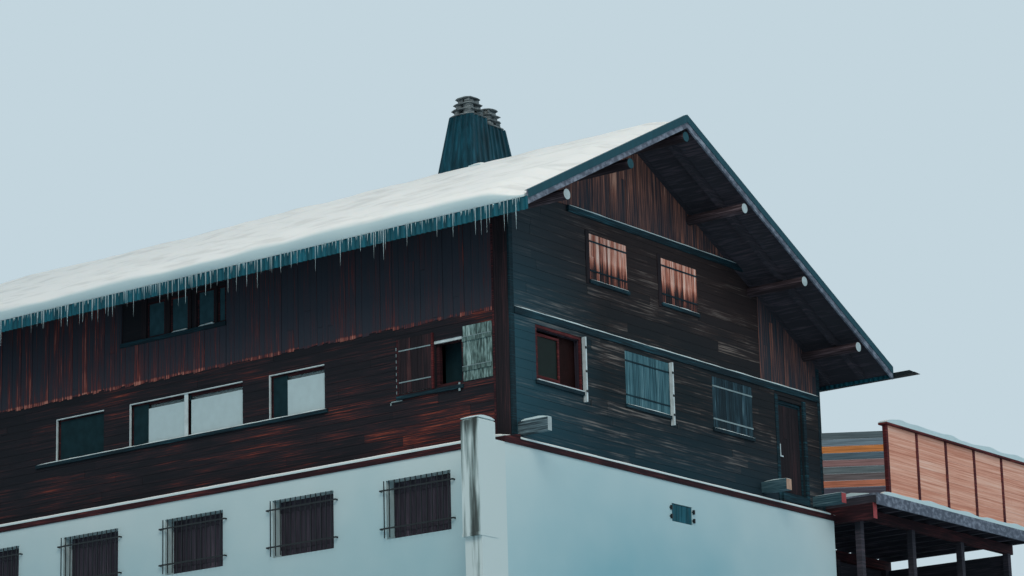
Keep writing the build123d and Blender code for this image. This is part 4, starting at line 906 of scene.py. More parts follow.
class CHALET_OT_side_walls(bpy.types.Operator):
    """Lays planks and upright boards on the two long sides"""

    bl_idname = "chalet.side_walls"
    bl_label = "Side walls"

    def execute(self, context):
        draw = draw_for("side_walls")
        for wall, name, windows in ((LEFT, "left", SIDE_WINDOWS), (RIGHT, "right", RIGHT_WINDOWS)):
            holes = [opening(span, SIDE_HEIGHTS) for span in windows]
            if name == "left":
                holes.append(opening(OPEN_HALF, SIDE_HEIGHTS))
            else:
                holes.append((TERRACE_DOOR[0], 0, TERRACE_DOOR[1], DOOR_HEIGHTS[1]))
            area = (CORNER_SIDE, LEDGE_TOP, HOUSE_LENGTH - CORNER_SIDE, STOREY)
            planks = courses(area, holes, sizes().plank, 5.0, draw)
            lay(f"{name}_side_planks", wall, outlines(planks), "burnt_planks")
            self.corner_boards(wall, name, draw)
        self.upper_boards(LEFT, "left", PLATE_SEAT - SILL, draw)
        self.upper_boards(RIGHT, "right", roof_top(HOUSE_WIDTH, PURLIN_DROP) - SILL, draw)
        return {"FINISHED"}

    def corner_boards(self, wall, name, draw):
        """Red-brown skins on the wide boards at both ends of a side."""
        low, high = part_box("corner_boards")
        top = min(high.z, roof_top(wall.start.x, PURLIN_DROP) - 0.05) - SILL
        heights = (low.z - SILL + 0.03, top)
        skins = []
        near, far = (0.015, CORNER_SIDE - 0.02), (HOUSE_LENGTH - CORNER_SIDE + 0.02, HOUSE_LENGTH - 0.015)
        for start, end in (near, far):
            skins += outlines(upright_boards((start, heights[0], end, top), 0.12, draw, gap=0.002))
        lay(f"{name}_corner_skins", wall, skins, "plum_boards", thick=0.008, uneven=0.004, proud=0.030)
        strips = [
            wall.box((start, start + STRIP_WIDTH), heights, (0.030, 0.044))
            for start in (CORNER_SIDE - STRIP_WIDTH, HOUSE_LENGTH - CORNER_SIDE)
        ]
        boxes(f"{name}_corner_strips", "stained", strips)

    def upper_boards(self, wall, name, top, draw):
        """Upright boards whose ragged feet hang a little below the storey's top."""
        area = (CORNER_SIDE, STOREY - 0.02, HOUSE_LENGTH - CORNER_SIDE, top)
        holes = [opening(LOFT, LOFT_HEIGHTS)] if name == "left" else []
        shapes = []
        for u0, v0, u1, v1 in upright_boards(area, sizes().board, draw, holes=holes):
            foot = rise = v0
            if v0 < STOREY:
                foot = v0 - draw.uniform(0.0, 0.055)
                rise = foot + draw.uniform(0, 0.02)
            shapes.append([(u0, rise), (u1, foot), (u1, v1), (u0, v1)])
        lay(f"{name}_side_upright_boards", wall, shapes, "burnt_boards", thick=0.030, uneven=0.010)


class CHALET_OT_gable_walls(bpy.types.Operator):
    """Lays planks and upright boards on the two gables"""

    bl_idname = "chalet.gable_walls"
    bl_label = "Gable walls"

    def execute(self, context):
        beside, over = DOOR_TRIM
        belt = STOREY + BELT_TOP
        for wall, name in ((FRONT, "front"), (BACK, "back")):
            draw = draw_for(f"{name}_gable")
            lower = (CORNER_GABLE, GABLE_LEDGE_TOP, HOUSE_WIDTH - CORNER_GABLE, belt - BELT_DEPTH)
            holes = [opening(span, GABLE_HEIGHTS) for span in GABLE_WINDOWS]
            if name == "front":
                holes.append((DOOR[0] - beside, 0, DOOR[1] + beside, DOOR_HEIGHTS[1] + over))
            planks = courses(lower, holes, sizes().plank, 4.0, draw)
            lay(f"{name}_gable_lower_planks", wall, outlines(planks), "slate_planks")
            upper = (0, belt, HOUSE_WIDTH, BELT_UPPER - BELT_DEPTH)
            holes = [opening(span, UPPER_HEIGHTS) for span in UPPER_WINDOWS]
            holes.append((BOARDED_FROM, STOREY, HOUSE_WIDTH, BELT_UPPER))
            planks = courses(upper, holes, sizes().plank, 4.0, draw)
            lay(f"{name}_gable_upper_planks", wall, self.under_roof(outlines(planks)), "slate_planks")
            end = (BOARDED_FROM, belt, HOUSE_WIDTH, BELT_UPPER)
            peak = (0, BELT_UPPER, HOUSE_WIDTH, RIDGE_TOP - SILL)
            boards = upright_boards(end, sizes().board, draw) + upright_boards(peak, sizes().board, draw)
            lay(f"{name}_gable_boards", wall, self.under_roof(outlines(boards)), "gable_boards", uneven=0.010)
        return {"FINISHED"}

    def under_roof(self, shapes):
        """Cuts the outlines off at the underside of the roof."""
        peak = roof_top(RIDGE_X, PURLIN_DROP) - SILL
        for slope in (-ROOF_FALL, ROOF_FALL):
            shapes = [clipped(shape, lambda u, v: peak - v + slope * (RIDGE_X - u)) for shape in shapes]
        return [shape for shape in shapes if len(shape) > 2]


# Snow and metal on the roof
def ease(value):
    value = max(0.0, min(1.0, value))
    return value * value * (3 - 2 * value)


# Roof snow: depths at the ridge and the eaves, and how it thins over a stretch at the gables
RIDGE_SNOW = 0.030
EAVE_SNOW = {"left": 0.220, "right": 0.060}
GABLE_TAPER = 1.00
THINNEST = 0.012
THIN_SHARE = 0.10
# Its ripples: waves to the metre along the slope and along the eave, layer of noise and weight
RIPPLES = ((2.6, 0.28, 3.1, 0.9), (4.5, 1.1, 7.7, 0.8))
# Its mesh: rows along the eave, steps along the slope, and the gap between the two blankets' halves
SNOW_ROWS = 150
SNOW_STEPS = 46
RIDGE_GAP = 0.002
# Where the nose of the snow is drawn, in half turns from its brow to its foot
NOSE_TURNS = (0.12, 0.28, 0.45, 0.62, 0.78, 0.90)
NOSE_OUT = 0.100
NOSE_ROUND = 0.075


class CHALET_OT_roof_snow(bpy.types.Operator):
    """Spreads the snow blankets over both slopes, rippled along the eaves and thin at the gables"""

    bl_idname = "chalet.roof_snow"
    bl_label = "Roof snow"

    def execute(self, context):
        start, end = ROOF_FRONT + 2 * BARGE_THICK, ROOF_BACK - 2 * BARGE_THICK
        for side, eave, sign in (("left", EAVE_LEFT, -1), ("right", EAVE_RIGHT, 1)):
            rings = []
            for row in range(SNOW_ROWS + 1):
                y = start + (end - start) * row / SNOW_ROWS
                share = ease(min(y - start, end - y) / GABLE_TAPER)
                rings.append(self.section(EAVE_SNOW[side], eave + sign * FASCIA_THICK, sign, y, share))
            blanket = joined(f"{side}_snow_blanket", [swept("blanket", rings)], "roof_snow", 70)
            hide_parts(f"roof_snow_{side}")
        return {"FINISHED"}

    def section(self, deepest, lip, sign, y, share):
        """Outline across the slope at y, from the ridge over the nose and back under the snow."""
        crest = RIDGE_X + sign * RIDGE_GAP
        ring = []
        for step in range(SNOW_STEPS + 1):
            along = step / SNOW_STEPS
            x = crest + (lip - RIDGE_X - sign * NOSE_OUT) * along
            depth = SHEET_DROP + RIDGE_SNOW + (deepest - RIDGE_SNOW) * along
            ripple = sum(
                weight * noise.noise(Vector((x * down, y * on, layer))) for down, on, layer, weight in RIPPLES
            )
            depth += sizes().snow_ripple * ripple * min(1, 0.60 + along * 2)
            depth = THINNEST + depth * (THIN_SHARE + (1 - THIN_SHARE) * share)
            ring.append((x, y, roof_top(x, SHEET_DROP) + depth))
        brow, foot = ring[-1], (lip, y, roof_top(lip, SHEET_DROP))
        edge = NOSE_ROUND + 0.03 * noise.noise(Vector((y * 1.1, 1.7, 0.4)))
        for turn in NOSE_TURNS:
            out = math.sin(turn * math.pi) * edge * share + NOSE_OUT * min(1, 2 * turn)
            ring.append((brow[0] + sign * out, y, foot[2] + (brow[2] - foot[2]) * (1 - turn)))
        return [*ring, foot, (crest, y, roof_top(RIDGE_X, SHEET_DROP))]


POINTS_PER_WAVE = 6


def wavy_sheet(line_out, line_in, wave, lift, half):
    """A corrugated sheet between two lines of points that run the same way along y."""
    start, end = [Vector(point) for point in line_out]
    waves = int((end.y - start.y) / sizes().sheet_pitch)
    count = waves * POINTS_PER_WAVE
    points, faces = [], []
    for number in range(count + 1):
        share = number / count
        swing = wave * math.sin(share * waves * 2 * math.pi)
        for line in (line_out, line_in):
            place = Vector(line[0]).lerp(Vector(line[1]), share)
            points += [place + lift * (swing + half), place + lift * (swing - half)]
    for number in range(count):
        here, there = number * 4, number * 4 + 4
        for a, b in ((0, 1), (1, 3), (3, 2), (2, 0)):
            faces.append((here + a, here + b, there + b, there + a))
    faces += [(0, 2, 3, 1), (count * 4, count * 4 + 1, count * 4 + 3, count * 4 + 2)]
    made = mesh_of("sheet", points, faces)
    outward(made)
    return made


SHEET_MIDDLE = SHEET_DROP + 0.0075
SHEET_HALF = 0.0025
SHEET_GAP = 0.004
SHEET_FLATTER = 0.45
RIDGE_SEAM = 0.003
BAND_HALF = 0.003
BAND_GAP = 0.002
# The eaves: where they are, which way they face, and how far their bands hang
EAVES = ((EAVE_LEFT, -1, 0.250), (EAVE_RIGHT, 1, 0.110))


class CHALET_OT_roof_metal(bpy.types.Operator):
    """Lays the corrugated sheets, and hangs corrugated bands along the eaves"""

    bl_idname = "chalet.roof_metal"
    bl_label = "Roof metal"

    def execute(self, context):
        wave = sizes().sheet_wave
        run = (ROOF_FRONT + BARGE_THICK + SHEET_GAP, ROOF_BACK - BARGE_THICK - SHEET_GAP)
        whole = (ROOF_FRONT + BAND_GAP, ROOF_BACK - BAND_GAP)
        slopes, bands = [], []
        for eave, sign, hang in EAVES:
            ridge = RIDGE_X + sign * RIDGE_SEAM
            upper, lower = [[(x, y, roof_top(x, SHEET_MIDDLE)) for y in run] for x in (ridge, eave)]
            slopes.append(wavy_sheet(lower, upper, wave * SHEET_FLATTER, UP, SHEET_HALF))
            face, top = eave + sign * FASCIA_THICK / 2, roof_top(eave, DECK_DROP)
            high, low = [[(face, y, z) for y in whole] for z in (top, top - hang)]
            bands.append(wavy_sheet(high, low, wave, Vector((sign, 0, 0)), BAND_HALF))
        sheets = joined("corrugated_sheets", slopes, "enamel")
        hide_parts("roof_sheets")
        band = joined("corrugated_eave_bands", bands, "eave_band")
        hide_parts("eave_fascia")
        return {"FINISHED"}


# The line the icicles hang from: out from the band, up from the sheet, and in from the gables
ICICLE_OUT = 0.035
ICICLE_UP = 0.02
ICICLE_IN = 0.15
ICICLE_ROOT = 0.011


class CHALET_OT_icicles(bpy.types.Operator):
    """Hangs icicles along the left eave"""

    bl_idname = "chalet.icicles"
    bl_label = "Icicles"

    def execute(self, context):
        x = EAVE_LEFT - FASCIA_THICK - ICICLE_OUT
        z = roof_top(x, SHEET_DROP) + ICICLE_UP
        edge = bpy.data.meshes.new("eave_line")
        edge.from_pydata([(x, ROOF_FRONT + ICICLE_IN, z), (x, ROOF_BACK - ICICLE_IN, z)], [(0, 1)], [])
        chosen = sizes()
        ice = grown("eave_icicles", edge, icicles_tree, "ice", "snow", Pitch=chosen.icicle_pitch,
                    Length=chosen.icicle_length, Root=ICICLE_ROOT, Seed=chosen.seed)
        smooth(ice, 80)
        return {"FINISHED"}


# Chimney
STACK_X = RIDGE_X + 0.797
STACK_Y = 4.510
STACK_FOOT = (1.700, 0.920)
STACK_HEAD = (1.240, 0.580)
STACK_STEP = 0.120
STACK_PART = 0.595
STACK_TOP = RIDGE_TOP + 1.322
RIB_PROUD = 0.030
# A rib's section: shares of its pitch, and how proud the sheet stands there
RIB = ((0.30, 0.0), (0.38, RIB_PROUD), (0.62, RIB_PROUD), (0.70, 0.0))
RIB_CLOSER = 0.82
SEAM = 0.01
INSET = 0.02
# The casing's foot is found by halving this range, in shares of the rise from the ridge to the stack's top
FOOT_RANGE = (-1.2, 1.0)
HALVINGS = 30

# Caps: the collar, and three tiers of four stones under a plate
SECOND_CAP = (0.06, 0.97)
COLLAR = 0.035
COLLAR_OVER = 0.045
TIERS = 3
TIER_INSET = 0.02
TIER_TAPER = 0.03
TIER_STONE = (0.10, 0.09, 0.12)
TIER_RISE = 0.105
STONE_IN = 0.12
STONE_SUNK = 0.01
PLATE = 0.030
PLATE_OVER = (0.03, 0.04)
PLATE_RISE = 0.028
# How rough the edge of each kind of stone is, and how much of that goes outward
ROUGH_EDGE = {"collar": 0.02, "stone": 0.3, "plate": 0.10}
OUTWARD = 0.4
SQUARENESS = 0.75
STONE_CORNERS = 14
# A stone's section: shares of its thickness, and of its reach
STONE_SECTION = ((0, 0.94), (0.3, 1.0), (0.75, 0.99), (1, 0.93))


class CHALET_OT_chimney(bpy.types.Operator):
    """Cases the two flues in ribbed sheet and piles split stones on them"""

    bl_idname = "chalet.chimney"
    bl_label = "Chimney"

    def execute(self, context):
        draw = draw_for("chimney")
        part = STACK_PART / STACK_HEAD[0]
        lower = STACK_TOP - STACK_STEP
        casings = [self.casing((0.0, part), STACK_TOP, 0.0), self.casing((part - SEAM, 1.0), lower, INSET)]
        stack = joined("ribbed_flue_casings", casings, "casing")
        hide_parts("chimney_stack")
        stones = self.pile((0.0, part), STACK_TOP, draw)
        stones += self.pile((part + SECOND_CAP[0], SECOND_CAP[1]), lower, draw)
        plates = joined("split_stone_caps", stones, "stone")
        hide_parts("chimney_caps")
        return {"FINISHED"}

    def casing(self, shares, top, inset):
        """One tapered casing with standing ribs, from the roof up to its collar."""
        rise = STACK_TOP - RIDGE_TOP
        rings = [[], []]
        feet, heads = [self.outline(size, shares, inset) for size in (STACK_FOOT, STACK_HEAD)]
        for low, high in zip(feet, heads):
            start, end = FOOT_RANGE
            for _ in range(HALVINGS):
                middle = (start + end) / 2
                if RIDGE_TOP + rise * middle < roof_top(low.lerp(high, middle).x, DECK_DROP):
                    start = middle
                else:
                    end = middle
            for ring, share in zip(rings, (start, (top - RIDGE_TOP) / rise)):
                ring.append((*low.lerp(high, share), RIDGE_TOP + rise * share))
        return swept("casing", rings)

    def outline(self, size, shares, inset):
        """Ribbed outline of a part of the stack, with as many points at any height."""
        low, high = [STACK_X - size[0] / 2 + size[0] * share for share in shares]
        front, back = STACK_Y - size[1] / 2 + inset, STACK_Y + size[1] / 2 - inset
        corners = [Vector((low, front)), Vector((high, front)), Vector((high, back)), Vector((low, back))]
        pitch = sizes().rib_pitch * RIB_CLOSER
        counts = (int(STACK_HEAD[0] * (shares[1] - shares[0]) / pitch), int(STACK_HEAD[1] / pitch))
        points = []
        for number, corner in enumerate(corners):
            along = corners[(number + 1) % 4] - corner
            out = Vector((along.y, -along.x)).normalized()
            ribs = counts[number % 2]
            points.append(corner)
            for rib in range(ribs):
                points += [corner + along * (rib + share) / ribs + out * proud for share, proud in RIB]
        return points

    def pile(self, shares, top, draw):
        """A collar, and stones and plates laid on each other, over one flue."""
        low, high = [STACK_X - STACK_HEAD[0] / 2 + STACK_HEAD[0] * share for share in shares]
        middle = Vector(((low + high) / 2, STACK_Y))
        half = Vector(((high - low) / 2, STACK_HEAD[1] / 2))
        over = half + Vector((COLLAR_OVER, COLLAR_OVER))
        stones = [self.stone("collar", middle, over, top, COLLAR, draw)]
        z = top + COLLAR
        wide, deep, tall = TIER_STONE
        for tier in range(TIERS):
            inset = TIER_INSET + TIER_TAPER * tier
            reach = half - Vector((STONE_IN + inset, STONE_IN + inset))
            for side_x in (-1, 1):
                for side_y in (-1, 1):
                    place = middle + Vector((reach.x * side_x, reach.y * side_y))
                    size = Vector((wide, deep))
                    stones.append(self.stone("stone", place, size, z - STONE_SUNK, tall, draw))
            z += TIER_RISE
            over = half + Vector((PLATE_OVER[0] - inset, PLATE_OVER[1] - inset))
            stones.append(self.stone("plate", middle, over, z, PLATE, draw))
            z += PLATE_RISE
        return stones

    def stone(self, kind, middle, half, z, thick, draw):
        """A flat stone with broken edges."""
        rough = ROUGH_EDGE[kind]
        reach = [draw.uniform(1 - rough, 1 + rough * OUTWARD) for _ in range(STONE_CORNERS)]
        rings = []
        for height, share in STONE_SECTION:
            ring = []
            for number in range(STONE_CORNERS):
                angle = number / STONE_CORNERS * 2 * math.pi
                across, along = math.cos(angle), math.sin(angle)
                out = reach[number] * share / max(abs(across), abs(along)) ** SQUARENESS
                x, y = middle.x + across * half.x * out, middle.y + along * half.y * out
                ring.append((x, y, z + thick * height))
            rings.append(ring)
        return swept("stone", rings)


# Snow on ledges, sills and beams

# The top of a drift's section: shares of its depth and of its height
DRIFT_TOP = ((0.92, 0.93), (0.70, 1.0), (0.35, 1.0), (0.0, 0.88))
DRIFT_STEP = 0.14
LEAST_DRIFT = 0.006


def drift(start, end, across, depth, height, fall=0.0, taper=0.30, patchy=0.0, seed=0.0, even=1.0):
    """A cap of snow along a line, domed across, uneven along, and thin at its ends."""
    start, end = Vector(start), Vector(end)
    across = Vector(across)
    length = (end - start).length
    count = max(6, int(length / DRIFT_STEP))
    rings = []
    for number in range(count + 1):
        share = number / count
        place = start.lerp(end, share)
        near = min(share, 1 - share) * length
        swell = 0.85 + 0.5 * even * noise.noise(place * 1.9 + Vector((seed, 0, 0)))
        swell -= patchy * max(0.0, noise.noise(place * 3.3 + Vector((0, seed, 5))) + 0.1) * 3
        tall = max(LEAST_DRIFT, height * swell * math.sqrt(min(1.0, 0.04 + near / taper)))
        lip = 1.0 + 0.05 * noise.noise(place * 4.1 + Vector((seed, 3, 0)))
        ring = [place + UP * 0.001, place + across * depth + UP * (0.001 - fall)]
        for along, rise in ((lip, 0.35), (lip * 0.99, 0.72), *DRIFT_TOP):
            ring.append(place + across * depth * along + UP * (tall * rise - fall * along))
        rings.append(ring)
    return swept("drift", rings)


def wall_drift(wall, span, height, out, depth, tall, **shape):
    """Snow on something that stands out from a wall."""
    start, end = [wall.point(along, height, out) for along in span]
    return drift(start, end, wall.out, depth, tall, **shape)


# Middle, width and reach of each beam end, its heights over the sill, how much snow lies on it, and its cut
BEAM_ENDS = (
    (0.180, 0.120, 0.730, (0.040, 0.300), 1.5, "end_grain"),
    (8.743, 0.195, 0.645, (0.090, 0.320), 0.6, "fresh_end"),
    (10.768, 0.185, 0.755, (0.060, 0.280), 0.6, "red_end"),
)
PURLINS = (0.01, 2.18, RIDGE_X, 6.28, 8.51, 10.60)
# Purlins whose ends lie in the roof's shade, and get painted shade
SHADED_PURLINS = (2.18, RIDGE_X)
LEDGE_STRIP = 0.13
UPPER_BELT = (1.97, 8.00)
# Snow against the stack: where it starts and ends along the roof, its reach and its height
STACK_DRIFTS = ((0.0, 0.5, 0.30, 0.20), (0.35, 0.8, 0.22, 0.12))


class CHALET_OT_drifts(bpy.types.Operator):
    """Lays snow on the ledges, belts, sills, beam ends, coping and deck edge"""

    bl_idname = "chalet.drifts"
    bl_label = "Snow drifts"

    def execute(self, context):
        tall = sizes().ledge_snow
        joined("ledge_and_sill_snow", self.wall_snow(tall), "snow", 60)
        joined("beam_and_terrace_snow", self.beam_and_terrace_snow(tall), "snow", 60)
        return {"FINISHED"}

    def wall_snow(self, tall):
        """Snow on the ledges, belts and sills, and against the stack."""
        drifts = []
        for wall, face, slope in ((LEFT, -LEDGE_LOW.x, 0.100), (RIGHT, LEDGE_HIGH.x - HOUSE_WIDTH, 0.035)):
            fall = slope * LEDGE_STRIP / face
            drifts.append(wall_drift(
                wall, (BASE_LOW.y, BASE_HIGH_Y), fall - 0.075, face - LEDGE_STRIP, LEDGE_STRIP, 0.070,
                fall=fall, even=0.2,
            ))
        belt = (CORNER_GABLE, HOUSE_WIDTH - CORNER_GABLE)
        gable = [
            ((LEDGE_LOW.x, LEDGE_HIGH.x), -0.056, 0.095, 0.078, 0.050, dict(fall=0.016, even=0.2)),
            (belt, STOREY + BELT_TOP, 0.024, 0.033, tall * 0.55, {}),
            (UPPER_BELT, BELT_UPPER, 0.030, 0.028, tall * 0.45, {}),
        ]
        for spans, sill, share, patchy in (
            (UPPER_WINDOWS, UPPER_HEIGHTS[0], 0.5, 0.5), (GABLE_WINDOWS, GABLE_HEIGHTS[0], 0.4, 0.3),
        ):
            gable += [
                (span, sill, 0.03, 0.04, tall * share, dict(patchy=patchy, seed=span[0])) for span in spans
            ]
        for wall in (FRONT, BACK):
            drifts += [wall_drift(wall, *places, **shape) for *places, shape in gable]
        drifts.append(wall_drift(LEFT, (4.60, 12.75), SIDE_HEIGHTS[0], 0.03, 0.04, tall * 0.5, patchy=0.2))
        for span in LOFT_LIGHTS[1:3]:
            drifts.append(wall_drift(LEFT, span, LOFT_PANE_FOOT, -0.02, 0.03, tall * 1.5, taper=0.05))
        foot, front = STACK_X - STACK_FOOT[0] / 2, STACK_Y - STACK_FOOT[1] / 2
        for near, far, reach, rise in STACK_DRIFTS:
            ends = [(foot - 0.1 + along, front, roof_top(foot + along) + 0.02) for along in (near, far)]
            drifts.append(drift(*ends, (0, -1, 0), reach, rise, taper=0.2, seed=near))
        return drifts

    def beam_and_terrace_snow(self, tall):
        """Snow on the beam ends, the pier, the coping and the edges of the deck."""
        drifts = []
        for x, width, out, (_, top), amount, _ in BEAM_ENDS:
            left, head = x - width / 2, SILL + top
            drifts.append(drift(
                (left, -0.10, head), (left, -out, head), (1, 0, 0), width, tall * amount, patchy=0.4, seed=x,
            ))
        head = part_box("wing_pier")[1].z - 0.02
        pier = [(x, -0.15, head) for x in (-1.295, -0.765)]
        drifts.append(drift(*pier, (0, 1, 0), 0.40, tall * 2.0, taper=0.2))
        low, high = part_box("screen_frame")
        coping = [(x, low.y, high.z) for x in (low.x, high.x)]
        drifts.append(drift(*coping, (0, 1, 0), high.y - low.y, tall * 3.4, seed=2.0))
        low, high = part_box("terrace_deck")
        front = [(x, low.y + 0.005, high.z) for x in (low.x + 0.25, high.x)]
        drifts.append(drift(*front, (0, 1, 0), 0.110, tall * 2.8, seed=4.0))
        side = [(low.x, y, high.z) for y in (low.y + 0.2, -0.3)]
        drifts.append(drift(*side, (1, 0, 0), 0.10, tall * 2.2, seed=5.0))
        return drifts


# Windows
IN_FRONT = (-0.056, -0.046)
BLIND_FOOT = 0.155
CASING = 0.018
PANE_EDGE = 0.02
CURTAIN_EDGE = 0.05
RIGHT_CURTAIN = 0.40
# Lights of the left side's windows, and where the pale pane ends and the curtain begins
SIDE_LIGHTS = ((4.66, 5.70, 6.13), (6.86, 8.40, 8.40), (8.50, 9.56, 10.04))
CURTAINED = (10.85, 12.15)
MULLION = (8.40, 8.50)


def ring_boxes(wall, span, heights, width, proud):
    """Four boxes round the inside of an opening."""
    low, high = heights
    return [
        wall.box((span[0], span[1]), (high - width, high), proud),
        wall.box((span[0], span[1]), (low, low + width), proud),
        wall.box((span[0], span[0] + width), (low + width, high - width), proud),
        wall.box((span[1] - width, span[1]), (low + width, high - width), proud),
    ]


class CHALET_OT_windows(bpy.types.Operator):
    """Puts casings round the side windows, with panes, blinds and curtains behind them"""

    bl_idname = "chalet.windows"
    bl_label = "Windows"

    def execute(self, context):
        low, high = SIDE_HEIGHTS
        casings = []
        for wall, windows in ((LEFT, SIDE_WINDOWS), (RIGHT, RIGHT_WINDOWS)):
            for span in windows:
                head, _, _, jamb = ring_boxes(wall, span, SIDE_HEIGHTS, CASING, (-0.008, 0.034))
                casings += [head, jamb]
        casings.append(LEFT.box(MULLION, (low, high - CASING), (-0.010, 0.006)))
        panes, dark = [], []
        right_lights = [(start, end - RIGHT_CURTAIN, end) for start, end in RIGHT_WINDOWS]
        foot, head = low + PANE_EDGE, high - CURTAIN_EDGE
        for wall, lights in ((LEFT, SIDE_LIGHTS), (RIGHT, right_lights)):
            for start, middle, end in lights:
                panes.append(wall.box((start + PANE_EDGE, middle), (foot, high - BLIND_FOOT), IN_FRONT))
                dark.append(wall.box((middle, end - CURTAIN_EDGE), (foot, head), IN_FRONT))
            if wall is LEFT:
                dark.append(LEFT.box(CURTAINED, (foot + PANE_EDGE, head), IN_FRONT))
        loft = (LOFT_PANE_FOOT, LOFT_HEIGHTS[1])
        # The loft's panes, dark as painted shade under the eave
        dim = [LEFT.box(span, loft, (-0.032, -0.022)) for span in LOFT_LIGHTS]
        boxes("loft_panes", "loft_pane", dim)
        posts = [LEFT.box(span, loft, (0.0, 0.022)) for span in LOFT_POSTS]
        boxes("loft_posts", "plum_boards", posts)
        boxes("white_window_casings", "white_paint", casings)
        boxes("pale_panes", "sky_pane", panes)
        boxes("dark_panes", "curtain", dark)
        return {"FINISHED"}


# Shutters and doors
# How proud the boards of a leaf stand on each wall, the joints between them, and a leaf's play in its opening
SIDE_LEAF = 0.035
GABLE_LEAF = 0.015
BASE_LEAF = -0.270
LEAF_GAP = 0.003
LEAF_PLAY = 0.004
# The two bars of each kind of leaf: distances from its foot and its head, how proud they lie, and width
BARS = {
    "open": (0.24, 0.27, (0.045, 0.068), 0.085),
    "open lip": (0.28875, 0.22125, (0.045, 0.072), 0.0125),
    "closed": (0.22, 0.24, (0.045, 0.055), 0.022),
    "upper": (0.196, 0.156, (0.025, 0.040), 0.032),
    "lower": (0.20, 0.20, (0.025, 0.038), 0.030),
    "base": (0.21, 0.19, (-0.255, -0.245), 0.07),
}


def leaf(name, wall, area, proud, key, slot, draw, board=0.11, thick=0.010):
    """Upright boards over the face of a leaf."""
    boards = upright_boards(area, board, draw, gap=LEAF_GAP)
    return lay(name, wall, outlines(boards), key, slot, thick=thick, uneven=0.004, proud=proud)


def battens(kind, wall, area, inset=0.0):
    """Two level bars across a leaf."""
    above, below, proud, width = BARS[kind]
    return [
        wall.box((area[0] + inset, area[2] - inset), (height - width / 2, height + width / 2), proud)
        for height in (area[1] + above, area[3] - below)
    ]


# The leaves of the half open side window: spans along the wall, and the posts beside the closed one
CLOSED_SPAN = (1.905, 2.745)
OPEN_SPAN = (0.43, 1.13)
HINGE_POST = (1.862, 1.905)
FAR_POST = (2.745, 2.785)
STRAP_INSET = 0.02
# The catch under the sill, and the pins on the far post
CATCH = (1.20, 1.24)
CATCH_DROP = 0.16
PIN_SPAN = (2.788, 2.806)
PIN_PITCH = 0.125
PIN_HEIGHT = 0.060
PINS = 9
LOWEST_PIN = 0.12
# The bracket under the far post: spans, and how far each bar hangs below the leaf
BRACKET = (((2.66, 2.96), 0.145), ((2.94, 2.96), 0.20))
BRACKET_TOP = 0.125
# A dark sheet behind the open half: painted shade of the unlit room
ROOM = ((1.10, 1.90), (1.18, 2.21), (-0.40, -0.39))


class CHALET_OT_side_shutters(bpy.types.Operator):
    """Boards the closed and the open leaf of the side, with battens and straps"""

    bl_idname = "chalet.side_shutters"
    bl_label = "Side shutters"

    def execute(self, context):
        draw = draw_for("side_shutters")
        sill, head = SIDE_HEIGHTS
        low, high = sill + 0.01, GABLE_HEIGHTS[1]
        self.closed_leaf(low, high, sill, draw)
        area = (OPEN_SPAN[0], low, OPEN_SPAN[1], high)
        leaf("open_side_leaf", LEFT, area, SIDE_LEAF, "pale_shutter", "shutter_pale", draw, 0.13)
        boxes("open_leaf_battens", "pale_shutter", battens("open", LEFT, area))
        boxes("open_leaf_straps", "pale_iron", battens("open lip", LEFT, area))
        rail = LEFT.box(OPEN_HALF, (head - 0.055, head), (-0.02, 0.012))
        boxes("open_half_head", "white_paint", [rail])
        boxes("dark_room", "curtain", [LEFT.box(*ROOM)])
        return {"FINISHED"}

    def closed_leaf(self, low, high, sill, draw):
        """The closed leaf with its straps, the posts beside it and the pins on the far one."""
        area = (CLOSED_SPAN[0], low, CLOSED_SPAN[1], high)
        leaf("closed_side_leaf", LEFT, area, SIDE_LEAF, "plum_boards", "shutter_brown", draw, 0.14)
        straps = battens("closed", LEFT, area, STRAP_INSET)
        straps.append(LEFT.box(CATCH, (sill - CATCH_DROP, low), (0.05, 0.066)))
        boxes("leaf_straps", "pale_iron", straps)
        post = (low - 0.02, high)
        boxes("hinge_post", "red_stain", [LEFT.box(HINGE_POST, post, (0.0, 0.060))])
        boxes("far_post", "stained", [LEFT.box(FAR_POST, post, (0.0, 0.045))])
        feet = [low - LOWEST_PIN + PIN_PITCH * number for number in range(PINS)]
        pins = [LEFT.box(PIN_SPAN, (foot, foot + PIN_HEIGHT), (0.024, 0.040)) for foot in feet]
        for span, drop in BRACKET:
            pins.append(LEFT.box(span, (low - drop, low - BRACKET_TOP), (0.024, 0.044)))
        boxes("hinge_pins", "pale_iron", pins)


# Hooks of the folded leaves, and their stays: how far beyond the window each starts, and its foot
HOOK_HEIGHTS = (1.22, 1.62, 2.10)
STAYS = ((0.13, 1.10), (0.25, 1.00))
STAY_TOP = 1.125


